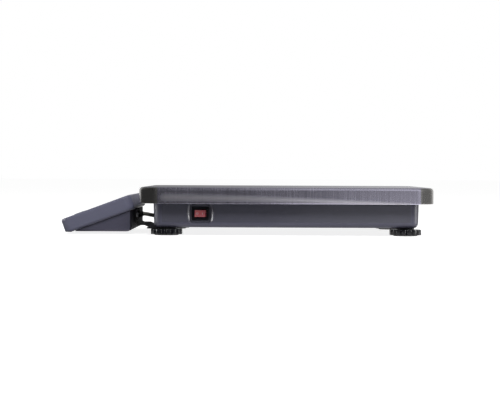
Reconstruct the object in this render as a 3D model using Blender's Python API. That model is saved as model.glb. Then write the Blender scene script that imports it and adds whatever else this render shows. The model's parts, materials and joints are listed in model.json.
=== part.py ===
"""Digital packing scale: a flat stainless pan on a plastic base with four levelling feet, and a tilted
display housing that a steel bracket holds in front of it.

Metres, +Z up. The feet stand on z = 0, +X points from the display towards the back of the scale and -Y is
the side with the power switch. The origin is under the middle of the whole scale."""

import math

import bmesh
import bpy
from mathutils import Euler, Matrix, Vector

# Fits, overruns and facets
GAP = 0.0003
OVERRUN = 0.002
CORNER_STEPS = 5
BLOCK_STEPS = 2
EDGE_STEPS = 3
ROUND_STEPS = 24
HOLE_STEPS = 10
SCREW_STEPS = 8

# Pan
PAN_LENGTH = 0.340
PAN_WIDTH = 0.300
PAN_SKIRT = 0.0189
PAN_SHEET = 0.0012
PAN_FOLD = 0.0042
PAN_CORNER = 0.020
PAN_LIFT_FACETS = 5

# Base tub and its cover
PAN_OVERHANG_X = 0.01625
PAN_OVERHANG_Y = 0.0162
BASE_WALL = 0.0025
BASE_FLOOR = 0.0035
BASE_CORNER = 0.010
BASE_EDGE = 0.0060
BASE_INNER_EDGE = 0.0030
BASE_DRAFT = 0.0006
BASE_HEADROOM = 0.0017
COVER_THICKNESS = 0.0025
COVER_EDGE = 0.0010
COVER_LIP_DEPTH = 0.0018
COVER_LIP_WALL = 0.0020
COVER_BOSS_RADIUS = 0.0040
COVER_SCREW_INSET = 0.01075
COVER_SCREW_SHARE = 0.448
COVER_SCREW_LENGTH = 0.014

# Small screws
SMALL_SHANK = 0.0014
SMALL_HEAD = 0.0028
SMALL_HEAD_HEIGHT = 0.0020
DRIVE_RADIUS = 0.0012
DRIVE_DEPTH = 0.0010

# Levelling feet
FOOT_INSET_X = 0.0150
FOOT_INSET_Y = 0.0158
FOOT_RADIUS = 0.0184
FOOT_HEIGHT = 0.0074
FOOT_LIFT = 0.0010
FOOT_EDGE = 0.0006
FLUTES = 16
FLUTE_DEPTH = 0.0011
FLUTE_FACETS = 4
PAD_RADIUS = 0.0140
PAD_SEAT = 0.0013
PAD_EDGE = 0.0005
STUD_RADIUS = 0.0039
STUD_LENGTH = 0.0226
STUD_POINT = 0.0010
FOOT_BOSS_RADIUS = 0.0080
FOOT_BOSS_ROOF = 0.0022
WASHER_RADIUS = 0.0103

# Load cell, spacers and spider
CELL_LENGTH = 0.130
CELL_WIDTH = 0.030
CELL_HEIGHT = 0.022
CELL_EDGE = 0.0006
CELL_BORE_RADIUS = 0.0075
CELL_BORE_SPREAD = 0.0125
CELL_SLOT_HALF = 0.0030
CELL_HOLE_INSET = 0.0090
CELL_HOLE_PITCH = 0.0150
CELL_SCREW_SHANK = 0.0029
CELL_SCREW_HEAD = 0.0050
CELL_SCREW_GRIP = 0.0100
CELL_CAP_HEIGHT = 0.0038
CELL_SINK_HEIGHT = 0.0025
LOWER_SPACER = 0.0030
UPPER_SPACER = 0.0045
SPACER_LENGTH = 0.033
SPIDER_PLATE = 0.0040
SPIDER_ARM_RADIUS = 0.0130
SPIDER_ARM_CORNER = 0.0115
SPIDER_HUB_LENGTH = 0.142
SPIDER_HUB_WIDTH = 0.050
SPIDER_RIB_HEIGHT = 0.0030
SPIDER_RIB_WIDTH = 0.0030
SPIDER_RIB_STOP = 0.0160
SPIDER_EDGE = 0.0006
SPIDER_STEP = 0.0004
PAD_INSET_X = 0.04175
PAD_INSET_Y = 0.0378
BUFFER_RADIUS = 0.0095
BUFFER_HEIGHT = 0.0067
BUFFER_EDGE = 0.0010
BUFFER_STEM_RADIUS = 0.0032
OPENING_MARGIN = 0.0060

# Power switch and its recess
SWITCH_FROM_FRONT = 0.0546
RECESS_WIDTH = 0.0262
RECESS_BULGE = 0.0024
RECESS_SILL = 0.0048
RECESS_DEPTH = 0.0050
RECESS_SLOPE = 0.0026
RECESS_FACETS = 5
RECESS_WALL = 0.0025
RECESS_MARGIN = 0.0015
BEZEL_WIDTH = 0.0200
BEZEL_HEIGHT = 0.0152
BEZEL_THICKNESS = 0.0018
BEZEL_CORNER = 0.0010
SWITCH_BODY_WIDTH = 0.0176
SWITCH_BODY_HEIGHT = 0.0126
SWITCH_BODY_DEPTH = 0.0190
ROCKER_WIDTH = 0.0140
ROCKER_HEIGHT = 0.0086
ROCKER_CROWN = 0.0046
ROCKER_DIP = 0.0036
ROCKER_TAPER = 0.0008
ROCKER_ROOT = 0.0005
ROCKER_KEEL = 0.0022
ROCKER_PIVOT = 0.0010
ROCKER_TILT = math.radians(10)
TERMINAL_WIDTH = 0.0048
TERMINAL_THICKNESS = 0.0008
TERMINAL_LENGTH = 0.0070
TERMINAL_PITCH = 0.0058

# Power inlet in the back wall
JACK_FROM_SIDE = 0.045
JACK_HEIGHT = 0.0150
JACK_FLANGE = 0.0056
JACK_FLANGE_THICKNESS = 0.0014
JACK_BARREL = 0.0040
JACK_BORE = 0.0029
JACK_BORE_DEPTH = 0.0090
JACK_PIN = 0.0010
JACK_BODY_DEPTH = 0.0130

# Battery and its door
BATTERY_LENGTH = 0.097
BATTERY_WIDTH = 0.051
BATTERY_HEIGHT = 0.024
BATTERY_EDGE = 0.0012
BATTERY_FROM_SIDE = 0.0618
BATTERY_ROOM = 0.0008
BATTERY_TAB_HEIGHT = 0.0025
BATTERY_TAB_WIDTH = 0.0048
BATTERY_TAB_THICKNESS = 0.0008
BATTERY_TAB_INSET = 0.009
DOOR_THICKNESS = 0.0016
DOOR_LEDGE = 0.0030
DOOR_TONGUE = 0.0120
DOOR_BOSS_RADIUS = 0.0036
DOOR_BOSS_HEIGHT = 0.0120
DOOR_SINK_HEIGHT = 0.0012
DOOR_SCREW_LENGTH = 0.0090

# Main board in the base
BOARD_TO_CELL = 0.02175
BOARD_TO_SCREWS = 0.007
BOARD_THICKNESS = 0.0016
BOARD_FROM_WALL = 0.0085
BOARD_POST_RADIUS = 0.0030
BOARD_POST_INSET = 0.0055
CONNECTOR_LENGTH = 0.009
CONNECTOR_WIDTH = 0.014
CONNECTOR_HALF = 0.0032
BOARD_CHIP_SHARES = ((0.05, 0.22), (0.10, -0.20), (0.32, 0.05))

# Level vial on the cover
VIAL_RADIUS = 0.0078
VIAL_FLANGE = 0.0100
VIAL_FLANGE_THICKNESS = 0.0012
VIAL_DEPTH = 0.0050
VIAL_DOME = 0.0012
VIAL_FROM_BACK = 0.03575
VIAL_SHARE = 5 / 12

# Display housing: a tilted slab on a wedge
DISPLAY_TO_BASE = 0.0266
DISPLAY_TILT = math.radians(20.3)
DISPLAY_LENGTH = 0.0865
DISPLAY_WIDTH = 0.220
DISPLAY_THICKNESS = 0.0177
DISPLAY_RISE = 0.0003
DISPLAY_FLAT_Z = 0.0027
DISPLAY_CORNER = 0.0060
DISPLAY_TOP_EDGE = 0.0025
DISPLAY_BOTTOM_EDGE = 0.0035
DISPLAY_WALL = 0.0024
DISPLAY_RIM = 0.0048
DISPLAY_RIM_HEIGHT = 0.0045
DISPLAY_RIM_BLEND = 0.0018
DISPLAY_PLATE = 0.0035
APRON_THICKNESS = 0.0022
APRON_ROOT = 0.0010
APRON_LAP = 0.0030
WEDGE_FLOOR_Z = 0.0034
WEDGE_BACKSET = 0.0041
WEDGE_SIDESET = 0.0042
WEDGE_NOSE = 0.0006
WEDGE_EDGE = 0.0025
WEDGE_HEEL = 0.0058
WEDGE_WALL = 0.0022

# Face of the display: sheet, window, liquid crystal panel and keys
FACE_MARGIN = 0.0075
FACE_SIDE_MARGIN = 0.0120
FACE_RECESS = 0.0011
FACE_SHEET = 0.0008
FACE_CORNER = 0.0040
WINDOW_WIDTH_SHARE = 29 / 49
WINDOW_THICKNESS = 0.0013
WINDOW_FROM_REAR = 0.0115
WINDOW_FROM_KEYS = 0.0056
WINDOW_LIP = 0.0040
WINDOW_CORNER = 0.0020
PANEL_THICKNESS = 0.0050
PANEL_MARGIN = 0.0010
KEY_COUNT = 5
KEY_LENGTH = 0.0130
KEY_WIDTH_SHARE = 6 / 49
KEY_PITCH_SHARE = 17 / 98
KEY_FROM_FRONT = 0.0205
KEY_PROUD = 0.0009
KEY_CORNER = 0.0030
KEY_EDGE = 0.0006
KEY_FLANGE = 0.0010
KEY_FLANGE_THICKNESS = 0.0012
KEY_TRAVEL = 0.0008
TACT_SIZE = 0.0060
DISPLAY_BOARD_INSET = 0.0060
DISPLAY_BOARD_SIDE_INSET = 0.0070
DISPLAY_SCREW_FROM_FRONT = 0.0245
DISPLAY_SCREW_FROM_REAR = 0.0185
DISPLAY_SCREW_SIDE = 0.0150
DISPLAY_BOSS_RADIUS = 0.0036
DISPLAY_POST_RADIUS = 0.0046
DISPLAY_SEAT = 0.0015
DISPLAY_SCREW_REACH = 0.0040
PLUG_LENGTH = 0.010
PLUG_WIDTH = 0.014
PLUG_SILL = 0.0012
PLUG_FROM_REAR = 0.0261

# Bracket between the base and the display
BRACKET_SHEET = 0.0012
BRACKET_SIDE_INSET = 0.0040
BRACKET_FRONT_LIP = 0.0090
BRACKET_BACK_REACH = 0.0260
BRACKET_CORNER = 0.0050
BRACKET_TONGUE_SHARE = 0.4484
BRACKET_TONGUE_RISE = 0.0017
BRACKET_JOGGLE = 0.0060
BRACKET_BEND_SHARE = 2 / 7
BRACKET_FACETS = 5
BRACKET_TOP_GAP = 0.0008
BRACKET_SCREW_SHANK = 0.0019
BRACKET_SCREW_HEAD = 0.0038
BRACKET_SCREW_HEIGHT = 0.0022
BRACKET_SCREW_LENGTH = 0.0100
BRACKET_SCREW_INSET = 0.018
BASE_SCREW_FROM_WALL = 0.0150
BASE_SCREW_BOSS = 0.0045
BASE_SCREW_BOSS_HEIGHT = 0.0110
DISPLAY_SCREW_SHARE = 0.6
REAR_BOSS_RADIUS = 0.0035
REAR_BOSS_DEPTH = 0.0100
CABLE_NOTCH = 0.0060

# Cable between the display and the base
CABLE_RADIUS = 0.00235
CABLE_SHARE = 0.65
CABLE_BASE_Z = 0.0195
CABLE_BEVEL = 3
CABLE_SPAN_POINTS = 4
BOOT_FLANGE = 0.0055
BOOT_FLANGE_THICKNESS = 0.0018
BOOT_PLUG = 0.0042
BOOT_INNER_DEPTH = 0.0030
BOOT_NOSE = 0.0040
BOOT_LENGTH = 0.0070
GLAND_FLANGE = 0.0060
GLAND_FLANGE_THICKNESS = 0.0016
GLAND_LENGTH = 0.0028

# Heights, worked out from the ground up
PAD_TOP = FOOT_LIFT + PAD_SEAT - GAP
BRACKET_BOTTOM = FOOT_HEIGHT + GAP
BASE_BOTTOM = BRACKET_BOTTOM + BRACKET_SHEET + GAP
FLOOR_TOP = BASE_BOTTOM + BASE_FLOOR
CELL_BOTTOM = FLOOR_TOP + GAP + LOWER_SPACER + GAP
CELL_TOP = CELL_BOTTOM + CELL_HEIGHT
BATTERY_BOTTOM = BASE_BOTTOM + GAP + DOOR_THICKNESS + GAP
BATTERY_TOP = BATTERY_BOTTOM + BATTERY_HEIGHT + BATTERY_TAB_HEIGHT
BASE_TOP = max(CELL_TOP, BATTERY_TOP) + BASE_HEADROOM
COVER_BOTTOM = BASE_TOP + GAP
COVER_TOP = COVER_BOTTOM + COVER_THICKNESS
SPIDER_BOTTOM = max(CELL_TOP + GAP + UPPER_SPACER + GAP, COVER_TOP + 2 * GAP)
SPIDER_TOP = SPIDER_BOTTOM + SPIDER_PLATE
PAN_UNDER = SPIDER_TOP + GAP + BUFFER_HEIGHT + GAP
PAN_TOP = PAN_UNDER + PAN_SHEET
PAN_RIM = PAN_TOP - PAN_SKIRT

# Plan places, from the middle of the pan
BASE_LENGTH = PAN_LENGTH - 2 * PAN_OVERHANG_X
BASE_WIDTH = PAN_WIDTH - 2 * PAN_OVERHANG_Y
BASE_HALF_X = BASE_LENGTH / 2
BASE_HALF_Y = BASE_WIDTH / 2
BASE_FRONT = -BASE_HALF_X
FOOT_X = BASE_HALF_X - FOOT_INSET_X
FOOT_Y = BASE_HALF_Y - FOOT_INSET_Y
PAD_REACH_X = BASE_HALF_X - PAD_INSET_X
PAD_REACH_Y = BASE_HALF_Y - PAD_INSET_Y
VIAL_X = BASE_HALF_X - VIAL_FROM_BACK
VIAL_Y = PAD_REACH_Y * VIAL_SHARE
BATTERY_Y = BASE_HALF_Y - BATTERY_FROM_SIDE
BRACKET_TONGUE = BASE_WIDTH * BRACKET_TONGUE_SHARE
BRACKET_SCREW_Y = BRACKET_TONGUE / 2 - BRACKET_SCREW_INSET
CELL_FIXED_X = -CELL_LENGTH / 2 + CELL_HOLE_INSET + CELL_HOLE_PITCH / 2
CELL_LIVE_X = -CELL_FIXED_X
STUD_TOP = FOOT_HEIGHT + STUD_LENGTH
SWITCH_X = BASE_FRONT + SWITCH_FROM_FRONT
RECESS_TOP = COVER_BOTTOM - COVER_LIP_DEPTH - GAP - RECESS_MARGIN
RECESS_HEIGHT = RECESS_TOP - BASE_BOTTOM - RECESS_SILL
SWITCH_Z = RECESS_TOP - RECESS_HEIGHT / 2
RECESS_BACK_Y = -BASE_HALF_Y + RECESS_DEPTH
JACK_Y = -BASE_HALF_Y + JACK_FROM_SIDE
JACK_Z = BASE_BOTTOM + JACK_HEIGHT
BOARD_FRONT = BASE_FRONT + BASE_WALL + BOARD_FROM_WALL
BOARD_LENGTH = -CELL_LENGTH / 2 - BOARD_TO_CELL - BOARD_FRONT
BOARD_WIDTH = 2 * (BRACKET_SCREW_Y - BOARD_TO_SCREWS)
BOARD_X = BOARD_FRONT + BOARD_LENGTH / 2
BOARD_BOTTOM = CABLE_BASE_Z - CONNECTOR_HALF - BOARD_THICKNESS
COVER_SCREW_X = BASE_HALF_X - COVER_SCREW_INSET
COVER_SCREW_Y = BASE_HALF_Y * COVER_SCREW_SHARE
DOOR_LENGTH = BATTERY_LENGTH + 2 * BATTERY_ROOM + 2 * DOOR_LEDGE
DOOR_WIDTH = BATTERY_WIDTH + 2 * BATTERY_ROOM + 2 * DOOR_LEDGE
DOOR_SCREW_X = DOOR_LENGTH / 2 + DOOR_TONGUE / 2
DOOR_SCREW_TOP = BASE_BOTTOM + GAP + DOOR_SINK_HEIGHT + DOOR_SCREW_LENGTH
BASE_SCREW_X = BASE_FRONT + BASE_SCREW_FROM_WALL

# The display: its rear wall keeps its distance from the base, and its tip is the scale's front end
TILT_COS = math.cos(DISPLAY_TILT)
TILT_SIN = math.sin(DISPLAY_TILT)
TILT_SLOPE = TILT_SIN / TILT_COS
WEDGE_BOTTOM = WEDGE_FLOOR_Z - DISPLAY_RISE
WEDGE_REAR = DISPLAY_LENGTH * TILT_COS - WEDGE_BACKSET
WEDGE_FRONT = (WEDGE_BOTTOM + WEDGE_NOSE + GAP / TILT_COS) / TILT_SLOPE
WEDGE_WIDTH = DISPLAY_WIDTH - 2 * WEDGE_SIDESET
APRON_FRONT = DISPLAY_RIM - APRON_ROOT
APRON_REAR = WEDGE_FRONT / TILT_COS + APRON_LAP
REAR_FACE_X = BASE_FRONT - DISPLAY_TO_BASE
DISPLAY_X = REAR_FACE_X - WEDGE_REAR
TOP_ARC_ALONG = DISPLAY_TOP_EDGE * TILT_COS
TOP_ARC_UP = (DISPLAY_THICKNESS - DISPLAY_TOP_EDGE) * TILT_SIN
DISPLAY_TIP_X = DISPLAY_X - DISPLAY_TOP_EDGE + TOP_ARC_ALONG - TOP_ARC_UP
PAN_CENTRE_X = -(DISPLAY_TIP_X + PAN_LENGTH / 2) / 2
PLATE_UNDER = DISPLAY_THICKNESS - DISPLAY_PLATE
FACE_SEAT = DISPLAY_THICKNESS - FACE_RECESS
FACE_LENGTH = DISPLAY_LENGTH - 2 * FACE_MARGIN
FACE_WIDTH = DISPLAY_WIDTH - 2 * FACE_SIDE_MARGIN
KEY_WIDTH = FACE_WIDTH * KEY_WIDTH_SHARE
KEY_PITCH = FACE_WIDTH * KEY_PITCH_SHARE
KEY_FOOT = PLATE_UNDER - GAP - KEY_FLANGE_THICKNESS
WINDOW_START = KEY_FROM_FRONT + KEY_LENGTH / 2 + WINDOW_FROM_KEYS
WINDOW_LENGTH = DISPLAY_LENGTH - WINDOW_FROM_REAR - WINDOW_START
WINDOW_ALONG = WINDOW_START + WINDOW_LENGTH / 2
WINDOW_WIDTH = FACE_WIDTH * WINDOW_WIDTH_SHARE
WINDOW_TOP = FACE_SEAT
WINDOW_BOTTOM = WINDOW_TOP - WINDOW_THICKNESS
PANEL_TOP = PLATE_UNDER - GAP
PANEL_BOTTOM = PANEL_TOP - PANEL_THICKNESS
DISPLAY_BOARD_TOP = PANEL_BOTTOM - GAP
DISPLAY_BOARD_BOTTOM = DISPLAY_BOARD_TOP - BOARD_THICKNESS
TACT_TOP = KEY_FOOT - KEY_TRAVEL - GAP
DISPLAY_SCREWS_ALONG = (DISPLAY_SCREW_FROM_FRONT, DISPLAY_LENGTH - DISPLAY_SCREW_FROM_REAR)
DISPLAY_SCREW_Y = DISPLAY_WIDTH / 2 - DISPLAY_SCREW_SIDE

# The bracket's flange, with the screws and the cable at shares of its height
FLANGE_X = REAR_FACE_X + GAP + BRACKET_SHEET / 2
SLAB_LOW_ARC = DISPLAY_RISE + (DISPLAY_LENGTH - DISPLAY_BOTTOM_EDGE) * TILT_SIN
SLAB_REAR_LOW = SLAB_LOW_ARC - DISPLAY_BOTTOM_EDGE * (1 - TILT_COS)
FLANGE_TOP = SLAB_REAR_LOW - BRACKET_TOP_GAP
BRACKET_PLATE_Z = BRACKET_BOTTOM + BRACKET_SHEET / 2
BRACKET_TONGUE_Z = BRACKET_PLATE_Z + BRACKET_TONGUE_RISE
FLANGE_HEIGHT = FLANGE_TOP - BRACKET_TONGUE_Z
BRACKET_BEND = FLANGE_HEIGHT * BRACKET_BEND_SHARE
DISPLAY_SCREW_Z = BRACKET_TONGUE_Z + FLANGE_HEIGHT * DISPLAY_SCREW_SHARE
CABLE_DISPLAY_Z = BRACKET_TONGUE_Z + FLANGE_HEIGHT * CABLE_SHARE
PLUG_FACE = DISPLAY_LENGTH - PLUG_FROM_REAR
PLUG_CABLE_Z = CABLE_DISPLAY_Z - DISPLAY_RISE - CABLE_RADIUS
PLUG_CABLE_UP = (PLUG_CABLE_Z - PLUG_FACE * TILT_SIN) / TILT_COS
PLUG_LOW = PLUG_CABLE_UP - PLUG_SILL

# Directions for pieces that are turned about their own Z
TO_FRONT = (0, -math.pi / 2, 0)
TO_BACK = (0, math.pi / 2, 0)
TO_NEAR = (math.pi / 2, 0, 0)
DOWNWARD = (math.pi, 0, 0)
UPWARD = (0, 0, 0)


def clear_scene():
    for piece in list(bpy.data.objects):
        bpy.data.objects.remove(piece, do_unlink=True)


def material(name, colour, roughness, metallic=0.0, alpha=1.0):
    finish = bpy.data.materials.new(name)
    finish.use_nodes = True
    shader = finish.node_tree.nodes["Principled BSDF"]
    shader.inputs["Base Color"].default_value = (*colour, 1.0)
    shader.inputs["Roughness"].default_value = roughness
    shader.inputs["Metallic"].default_value = metallic
    shader.inputs["Alpha"].default_value = alpha
    finish.diffuse_color = (*colour, alpha)
    return finish


def loft(rings, joined=False):
    """A closed form through rings of equally many points, capped at both ends or joined end to end."""
    form = bmesh.new()
    loops = [[form.verts.new(point) for point in ring] for ring in rings]
    pairs = list(zip(loops, loops[1:]))
    if joined:
        pairs.append((loops[-1], loops[0]))
    else:
        form.faces.new(reversed(loops[0]))
        form.faces.new(loops[-1])
    for lower, upper in pairs:
        for index, corner in enumerate(lower):
            after = (index + 1) % len(lower)
            form.faces.new((corner, lower[after], upper[after], upper[index]))
    bmesh.ops.recalc_face_normals(form, faces=form.faces)
    return form


def rounded_outline(length, width, corner, steps):
    """Points of a rounded rectangle about the origin, counter-clockwise from its right side."""
    points = []
    for quarter, (side_x, side_y) in enumerate(((1, 1), (-1, 1), (-1, -1), (1, -1))):
        centre_x = side_x * (length / 2 - corner)
        centre_y = side_y * (width / 2 - corner)
        for step in range(steps + 1):
            angle = math.pi / 2 * (quarter + step / steps)
            x = centre_x + corner * math.cos(angle)
            y = centre_y + corner * math.sin(angle)
            points.append((x, y))
    return points


def shell(length, width, corner, profile, steps=CORNER_STEPS):
    """A rounded box or tray: its outline is set in and raised as the profile's pairs say."""
    rings = []
    for inset, height in profile:
        radius = max(corner - inset, corner / CORNER_STEPS)
        outline = rounded_outline(length - 2 * inset, width - 2 * inset, radius, steps)
        rings.append([(x, y, height) for x, y in outline])
    return loft(rings)


def block(length, width, height, edge, corner=None, steps=BLOCK_STEPS):
    """A solid box standing on z = 0 with chamfered rims and rounded upright corners."""
    profile = [(edge, 0), (0, edge), (0, height - edge), (edge, height)]
    return shell(length, width, edge * 2 if corner is None else corner, profile, steps)


def arc(inset, height, radius, start, stop, steps=EDGE_STEPS):
    """Profile pairs along an arc, by angles in degrees: 0 is outward from the wall and 90 is up."""
    pairs = []
    for step in range(steps + 1):
        angle = math.radians(start + (stop - start) * step / steps)
        pairs.append((inset - radius * math.cos(angle), height + radius * math.sin(angle)))
    return pairs


def turned(profile, steps=ROUND_STEPS, joined=False):
    """A form turned about Z through pairs of radius and height."""
    rings = []
    for radius, height in profile:
        angles = [2 * math.pi * step / steps for step in range(steps)]
        rings.append([(radius * math.cos(a), radius * math.sin(a), height) for a in angles])
    return loft(rings, joined)


def rod(radius, bottom, top, steps=HOLE_STEPS):
    return turned([(radius, bottom), (radius, top)], steps)


def prism(outline, start, stop):
    """An outline in X and Z drawn out along Y."""
    return loft([[(x, y, z) for x, z in outline] for y in (start, stop)])


def moved(form, place, turn=UPWARD):
    matrix = Matrix.Translation(Vector(place)) @ Euler(turn).to_matrix().to_4x4()
    bmesh.ops.transform(form, matrix=matrix, verts=form.verts)
    return form


def gather(forms):
    """Several separate forms as one."""
    whole = bmesh.new()
    for form in forms:
        mesh = bpy.data.meshes.new("gathered")
        form.to_mesh(mesh)
        form.free()
        whole.from_mesh(mesh)
        bpy.data.meshes.remove(mesh)
    return whole


def add_piece(name, form, finish, parent, place=(0, 0, 0), turn=UPWARD, smooth=35):
    mesh = bpy.data.meshes.new(name)
    form.to_mesh(mesh)
    form.free()
    mesh.shade_smooth()
    mesh.set_sharp_from_angle(angle=math.radians(smooth))
    mesh.materials.append(finish)
    piece = bpy.data.objects.new(name, mesh)
    bpy.context.scene.collection.objects.link(piece)
    piece.parent = parent
    piece.location = place
    piece.rotation_euler = turn
    return piece


def add_frame(name, parent, place, turn=UPWARD):
    frame = bpy.data.objects.new(name, None)
    bpy.context.scene.collection.objects.link(frame)
    frame.parent = parent
    frame.location = place
    frame.rotation_euler = turn
    return frame


def combine(piece, name, form, operation, parent=None):
    """Adds the form to the piece, or cuts it away, with a hidden helper in the piece's own frame."""
    helper = add_piece(name, form, piece.data.materials[0], parent or piece.parent)
    helper.hide_render = True
    helper.display_type = "WIRE"
    step = piece.modifiers.new(name, "BOOLEAN")
    step.operation = operation
    step.solver = "EXACT"
    step.object = helper


def cut(piece, name, forms, parent=None):
    combine(piece, name, gather(forms), "DIFFERENCE", parent)


def fuse(piece, name, forms, parent=None):
    combine(piece, name, gather(forms), "UNION", parent)


def screw(shank, head, head_height, length, sink=0):
    """A screw pointing up: its head starts at z = 0, and its shank ends at the length past the head."""
    profile = [(DRIVE_RADIUS, DRIVE_DEPTH), (DRIVE_RADIUS, 0), (head, 0)]
    profile.append((shank if sink else head, head_height))
    if not sink:
        profile.append((shank, head_height))
    profile.append((shank, head_height + length - shank / 2))
    profile.append((shank / 2, head_height + length))
    return turned(profile, SCREW_STEPS)


def corners(x, y):
    """The four places at plus and minus x and y, with the names of their corners."""
    return (
        ("front_left", (-x, -y)),
        ("front_right", (-x, y)),
        ("rear_left", (x, -y)),
        ("rear_right", (x, y)),
    )


def make_pan(parent, finish):
    bend = PAN_TOP - PAN_FOLD
    profile = arc(PAN_FOLD, bend, PAN_FOLD - PAN_SHEET, 90, 0, PAN_LIFT_FACETS)
    profile += [(PAN_SHEET, PAN_RIM), (0, PAN_RIM)]
    profile += arc(PAN_FOLD, bend, PAN_FOLD, 0, 90, PAN_LIFT_FACETS)
    form = shell(PAN_LENGTH, PAN_WIDTH, PAN_CORNER, profile)
    add_piece("pan", moved(form, (0, 0, -PAN_UNDER)), finish, parent, (0, 0, PAN_UNDER))


def recess_outline(inset):
    """The switch recess from outside: flat at top and bottom, bulged at the sides."""
    half_height = RECESS_HEIGHT / 2 - inset
    half_width = RECESS_WIDTH / 2 - inset
    points = []
    for side in (1, -1):
        for step in range(RECESS_FACETS + 1):
            share = 2 * step / RECESS_FACETS - 1
            bulge = RECESS_BULGE * math.sqrt(max(1 - share * share, 0))
            points.append((side * (half_width + bulge), side * share * half_height))
    return points


def recess_form():
    """The dished space in front of the switch, widening towards the outside of the wall."""
    reach = RECESS_DEPTH + OVERRUN
    slope_at_mouth = -RECESS_SLOPE * OVERRUN / RECESS_DEPTH
    rings = []
    for inset, y in ((slope_at_mouth, RECESS_BACK_Y - reach), (RECESS_SLOPE, RECESS_BACK_Y)):
        rings.append([(SWITCH_X + x, y, SWITCH_Z + z) for x, z in recess_outline(inset)])
    return loft(rings)




def make_base_tub(parent, finish):
    inner = BASE_WALL + BASE_DRAFT
    edge = BASE_EDGE + BASE_DRAFT
    profile = arc(edge, BASE_BOTTOM + BASE_EDGE, BASE_EDGE, -90, 0)
    profile += [(0, BASE_TOP), (BASE_WALL, BASE_TOP)]
    profile += arc(inner + BASE_INNER_EDGE, FLOOR_TOP + BASE_INNER_EDGE, BASE_INNER_EDGE, 0, -90)
    tub = add_piece("base_tub", shell(BASE_LENGTH, BASE_WIDTH, BASE_CORNER, profile), finish, parent)

    rooted = FLOOR_TOP - BASE_FLOOR / 2
    additions = [switch_box()]
    for _, (x, y) in corners(FOOT_X, FOOT_Y):
        boss = rod(FOOT_BOSS_RADIUS, rooted, STUD_TOP + GAP + FOOT_BOSS_ROOF, ROUND_STEPS)
        additions.append(moved(boss, (x, y, 0)))
    for _, (x, y) in corners(COVER_SCREW_X, COVER_SCREW_Y):
        additions.append(moved(rod(COVER_BOSS_RADIUS, rooted, BASE_TOP - GAP), (x, y, 0)))
    for side in (-1, 1):
        post = rod(BOARD_POST_RADIUS, rooted, BOARD_BOTTOM - GAP)
        additions.append(moved(post, (BOARD_X, side * (BOARD_WIDTH / 2 - BOARD_POST_INSET), 0)))
        boss = rod(BASE_SCREW_BOSS, rooted, FLOOR_TOP + BASE_SCREW_BOSS_HEIGHT)
        additions.append(moved(boss, (BASE_SCREW_X, side * BRACKET_SCREW_Y, 0)))
    door_boss = rod(DOOR_BOSS_RADIUS, rooted, FLOOR_TOP + DOOR_BOSS_HEIGHT)
    additions.append(moved(door_boss, (DOOR_SCREW_X, BATTERY_Y, 0)))
    fuse(tub, "tub_bosses", additions)

    under = BASE_BOTTOM - OVERRUN
    bores = []
    for _, (x, y) in corners(FOOT_X, FOOT_Y):
        bores.append(moved(rod(STUD_RADIUS + GAP, under, STUD_TOP + GAP), (x, y, 0)))
    for _, (x, y) in corners(COVER_SCREW_X, COVER_SCREW_Y):
        bore = rod(SMALL_SHANK + GAP, COVER_TOP - COVER_SCREW_LENGTH - GAP, BASE_TOP + OVERRUN)
        bores.append(moved(bore, (x, y, 0)))
    for side in (-1, 1):
        bore = rod(BRACKET_SCREW_SHANK + GAP, under, FOOT_HEIGHT + BRACKET_SCREW_LENGTH + GAP)
        bores.append(moved(bore, (BASE_SCREW_X, side * BRACKET_SCREW_Y, 0)))
    for x in cell_holes(CELL_FIXED_X):
        hole = sunk_hole(CELL_SCREW_SHANK, CELL_SCREW_HEAD, CELL_SINK_HEIGHT, BASE_FLOOR)
        bores.append(moved(hole, (x, 0, BASE_BOTTOM)))
    cut(tub, "tub_bores", bores)
    cut(tub, "tub_recess", [recess_form()])
    cut(tub, "tub_wall_holes", wall_holes())

    rebate = plate(door_outline(GAP), BASE_BOTTOM - OVERRUN, BASE_BOTTOM + DOOR_THICKNESS + 2 * GAP)
    cut(tub, "tub_door_rebate", [moved(rebate, (0, BATTERY_Y, 0))])
    bay_length = BATTERY_LENGTH + 2 * BATTERY_ROOM
    bay_width = BATTERY_WIDTH + 2 * BATTERY_ROOM
    bay_heights = [(0, BASE_BOTTOM), (0, FLOOR_TOP + OVERRUN)]
    bay = shell(bay_length, bay_width, BATTERY_EDGE, bay_heights, BLOCK_STEPS)
    bore = rod(SMALL_SHANK + GAP, BASE_BOTTOM, DOOR_SCREW_TOP + GAP)
    cut(tub, "tub_battery_bay", [moved(bay, (0, BATTERY_Y, 0)), moved(bore, (DOOR_SCREW_X, BATTERY_Y, 0))])


def switch_box():
    """The thick wall behind the recess, rooted in the tub's side wall and floor."""
    outside = -BASE_HALF_Y + BASE_WALL - BASE_DRAFT
    depth = RECESS_BACK_Y + RECESS_WALL - outside
    width = RECESS_WIDTH + 2 * RECESS_BULGE + 2 * RECESS_MARGIN
    bottom = FLOOR_TOP - BASE_FLOOR / 4
    heights = [(0, bottom), (0, RECESS_TOP + RECESS_MARGIN)]
    box = shell(width, depth, BASE_WALL / 2, heights, BLOCK_STEPS)
    return moved(box, (SWITCH_X, outside + depth / 2, 0))


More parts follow.
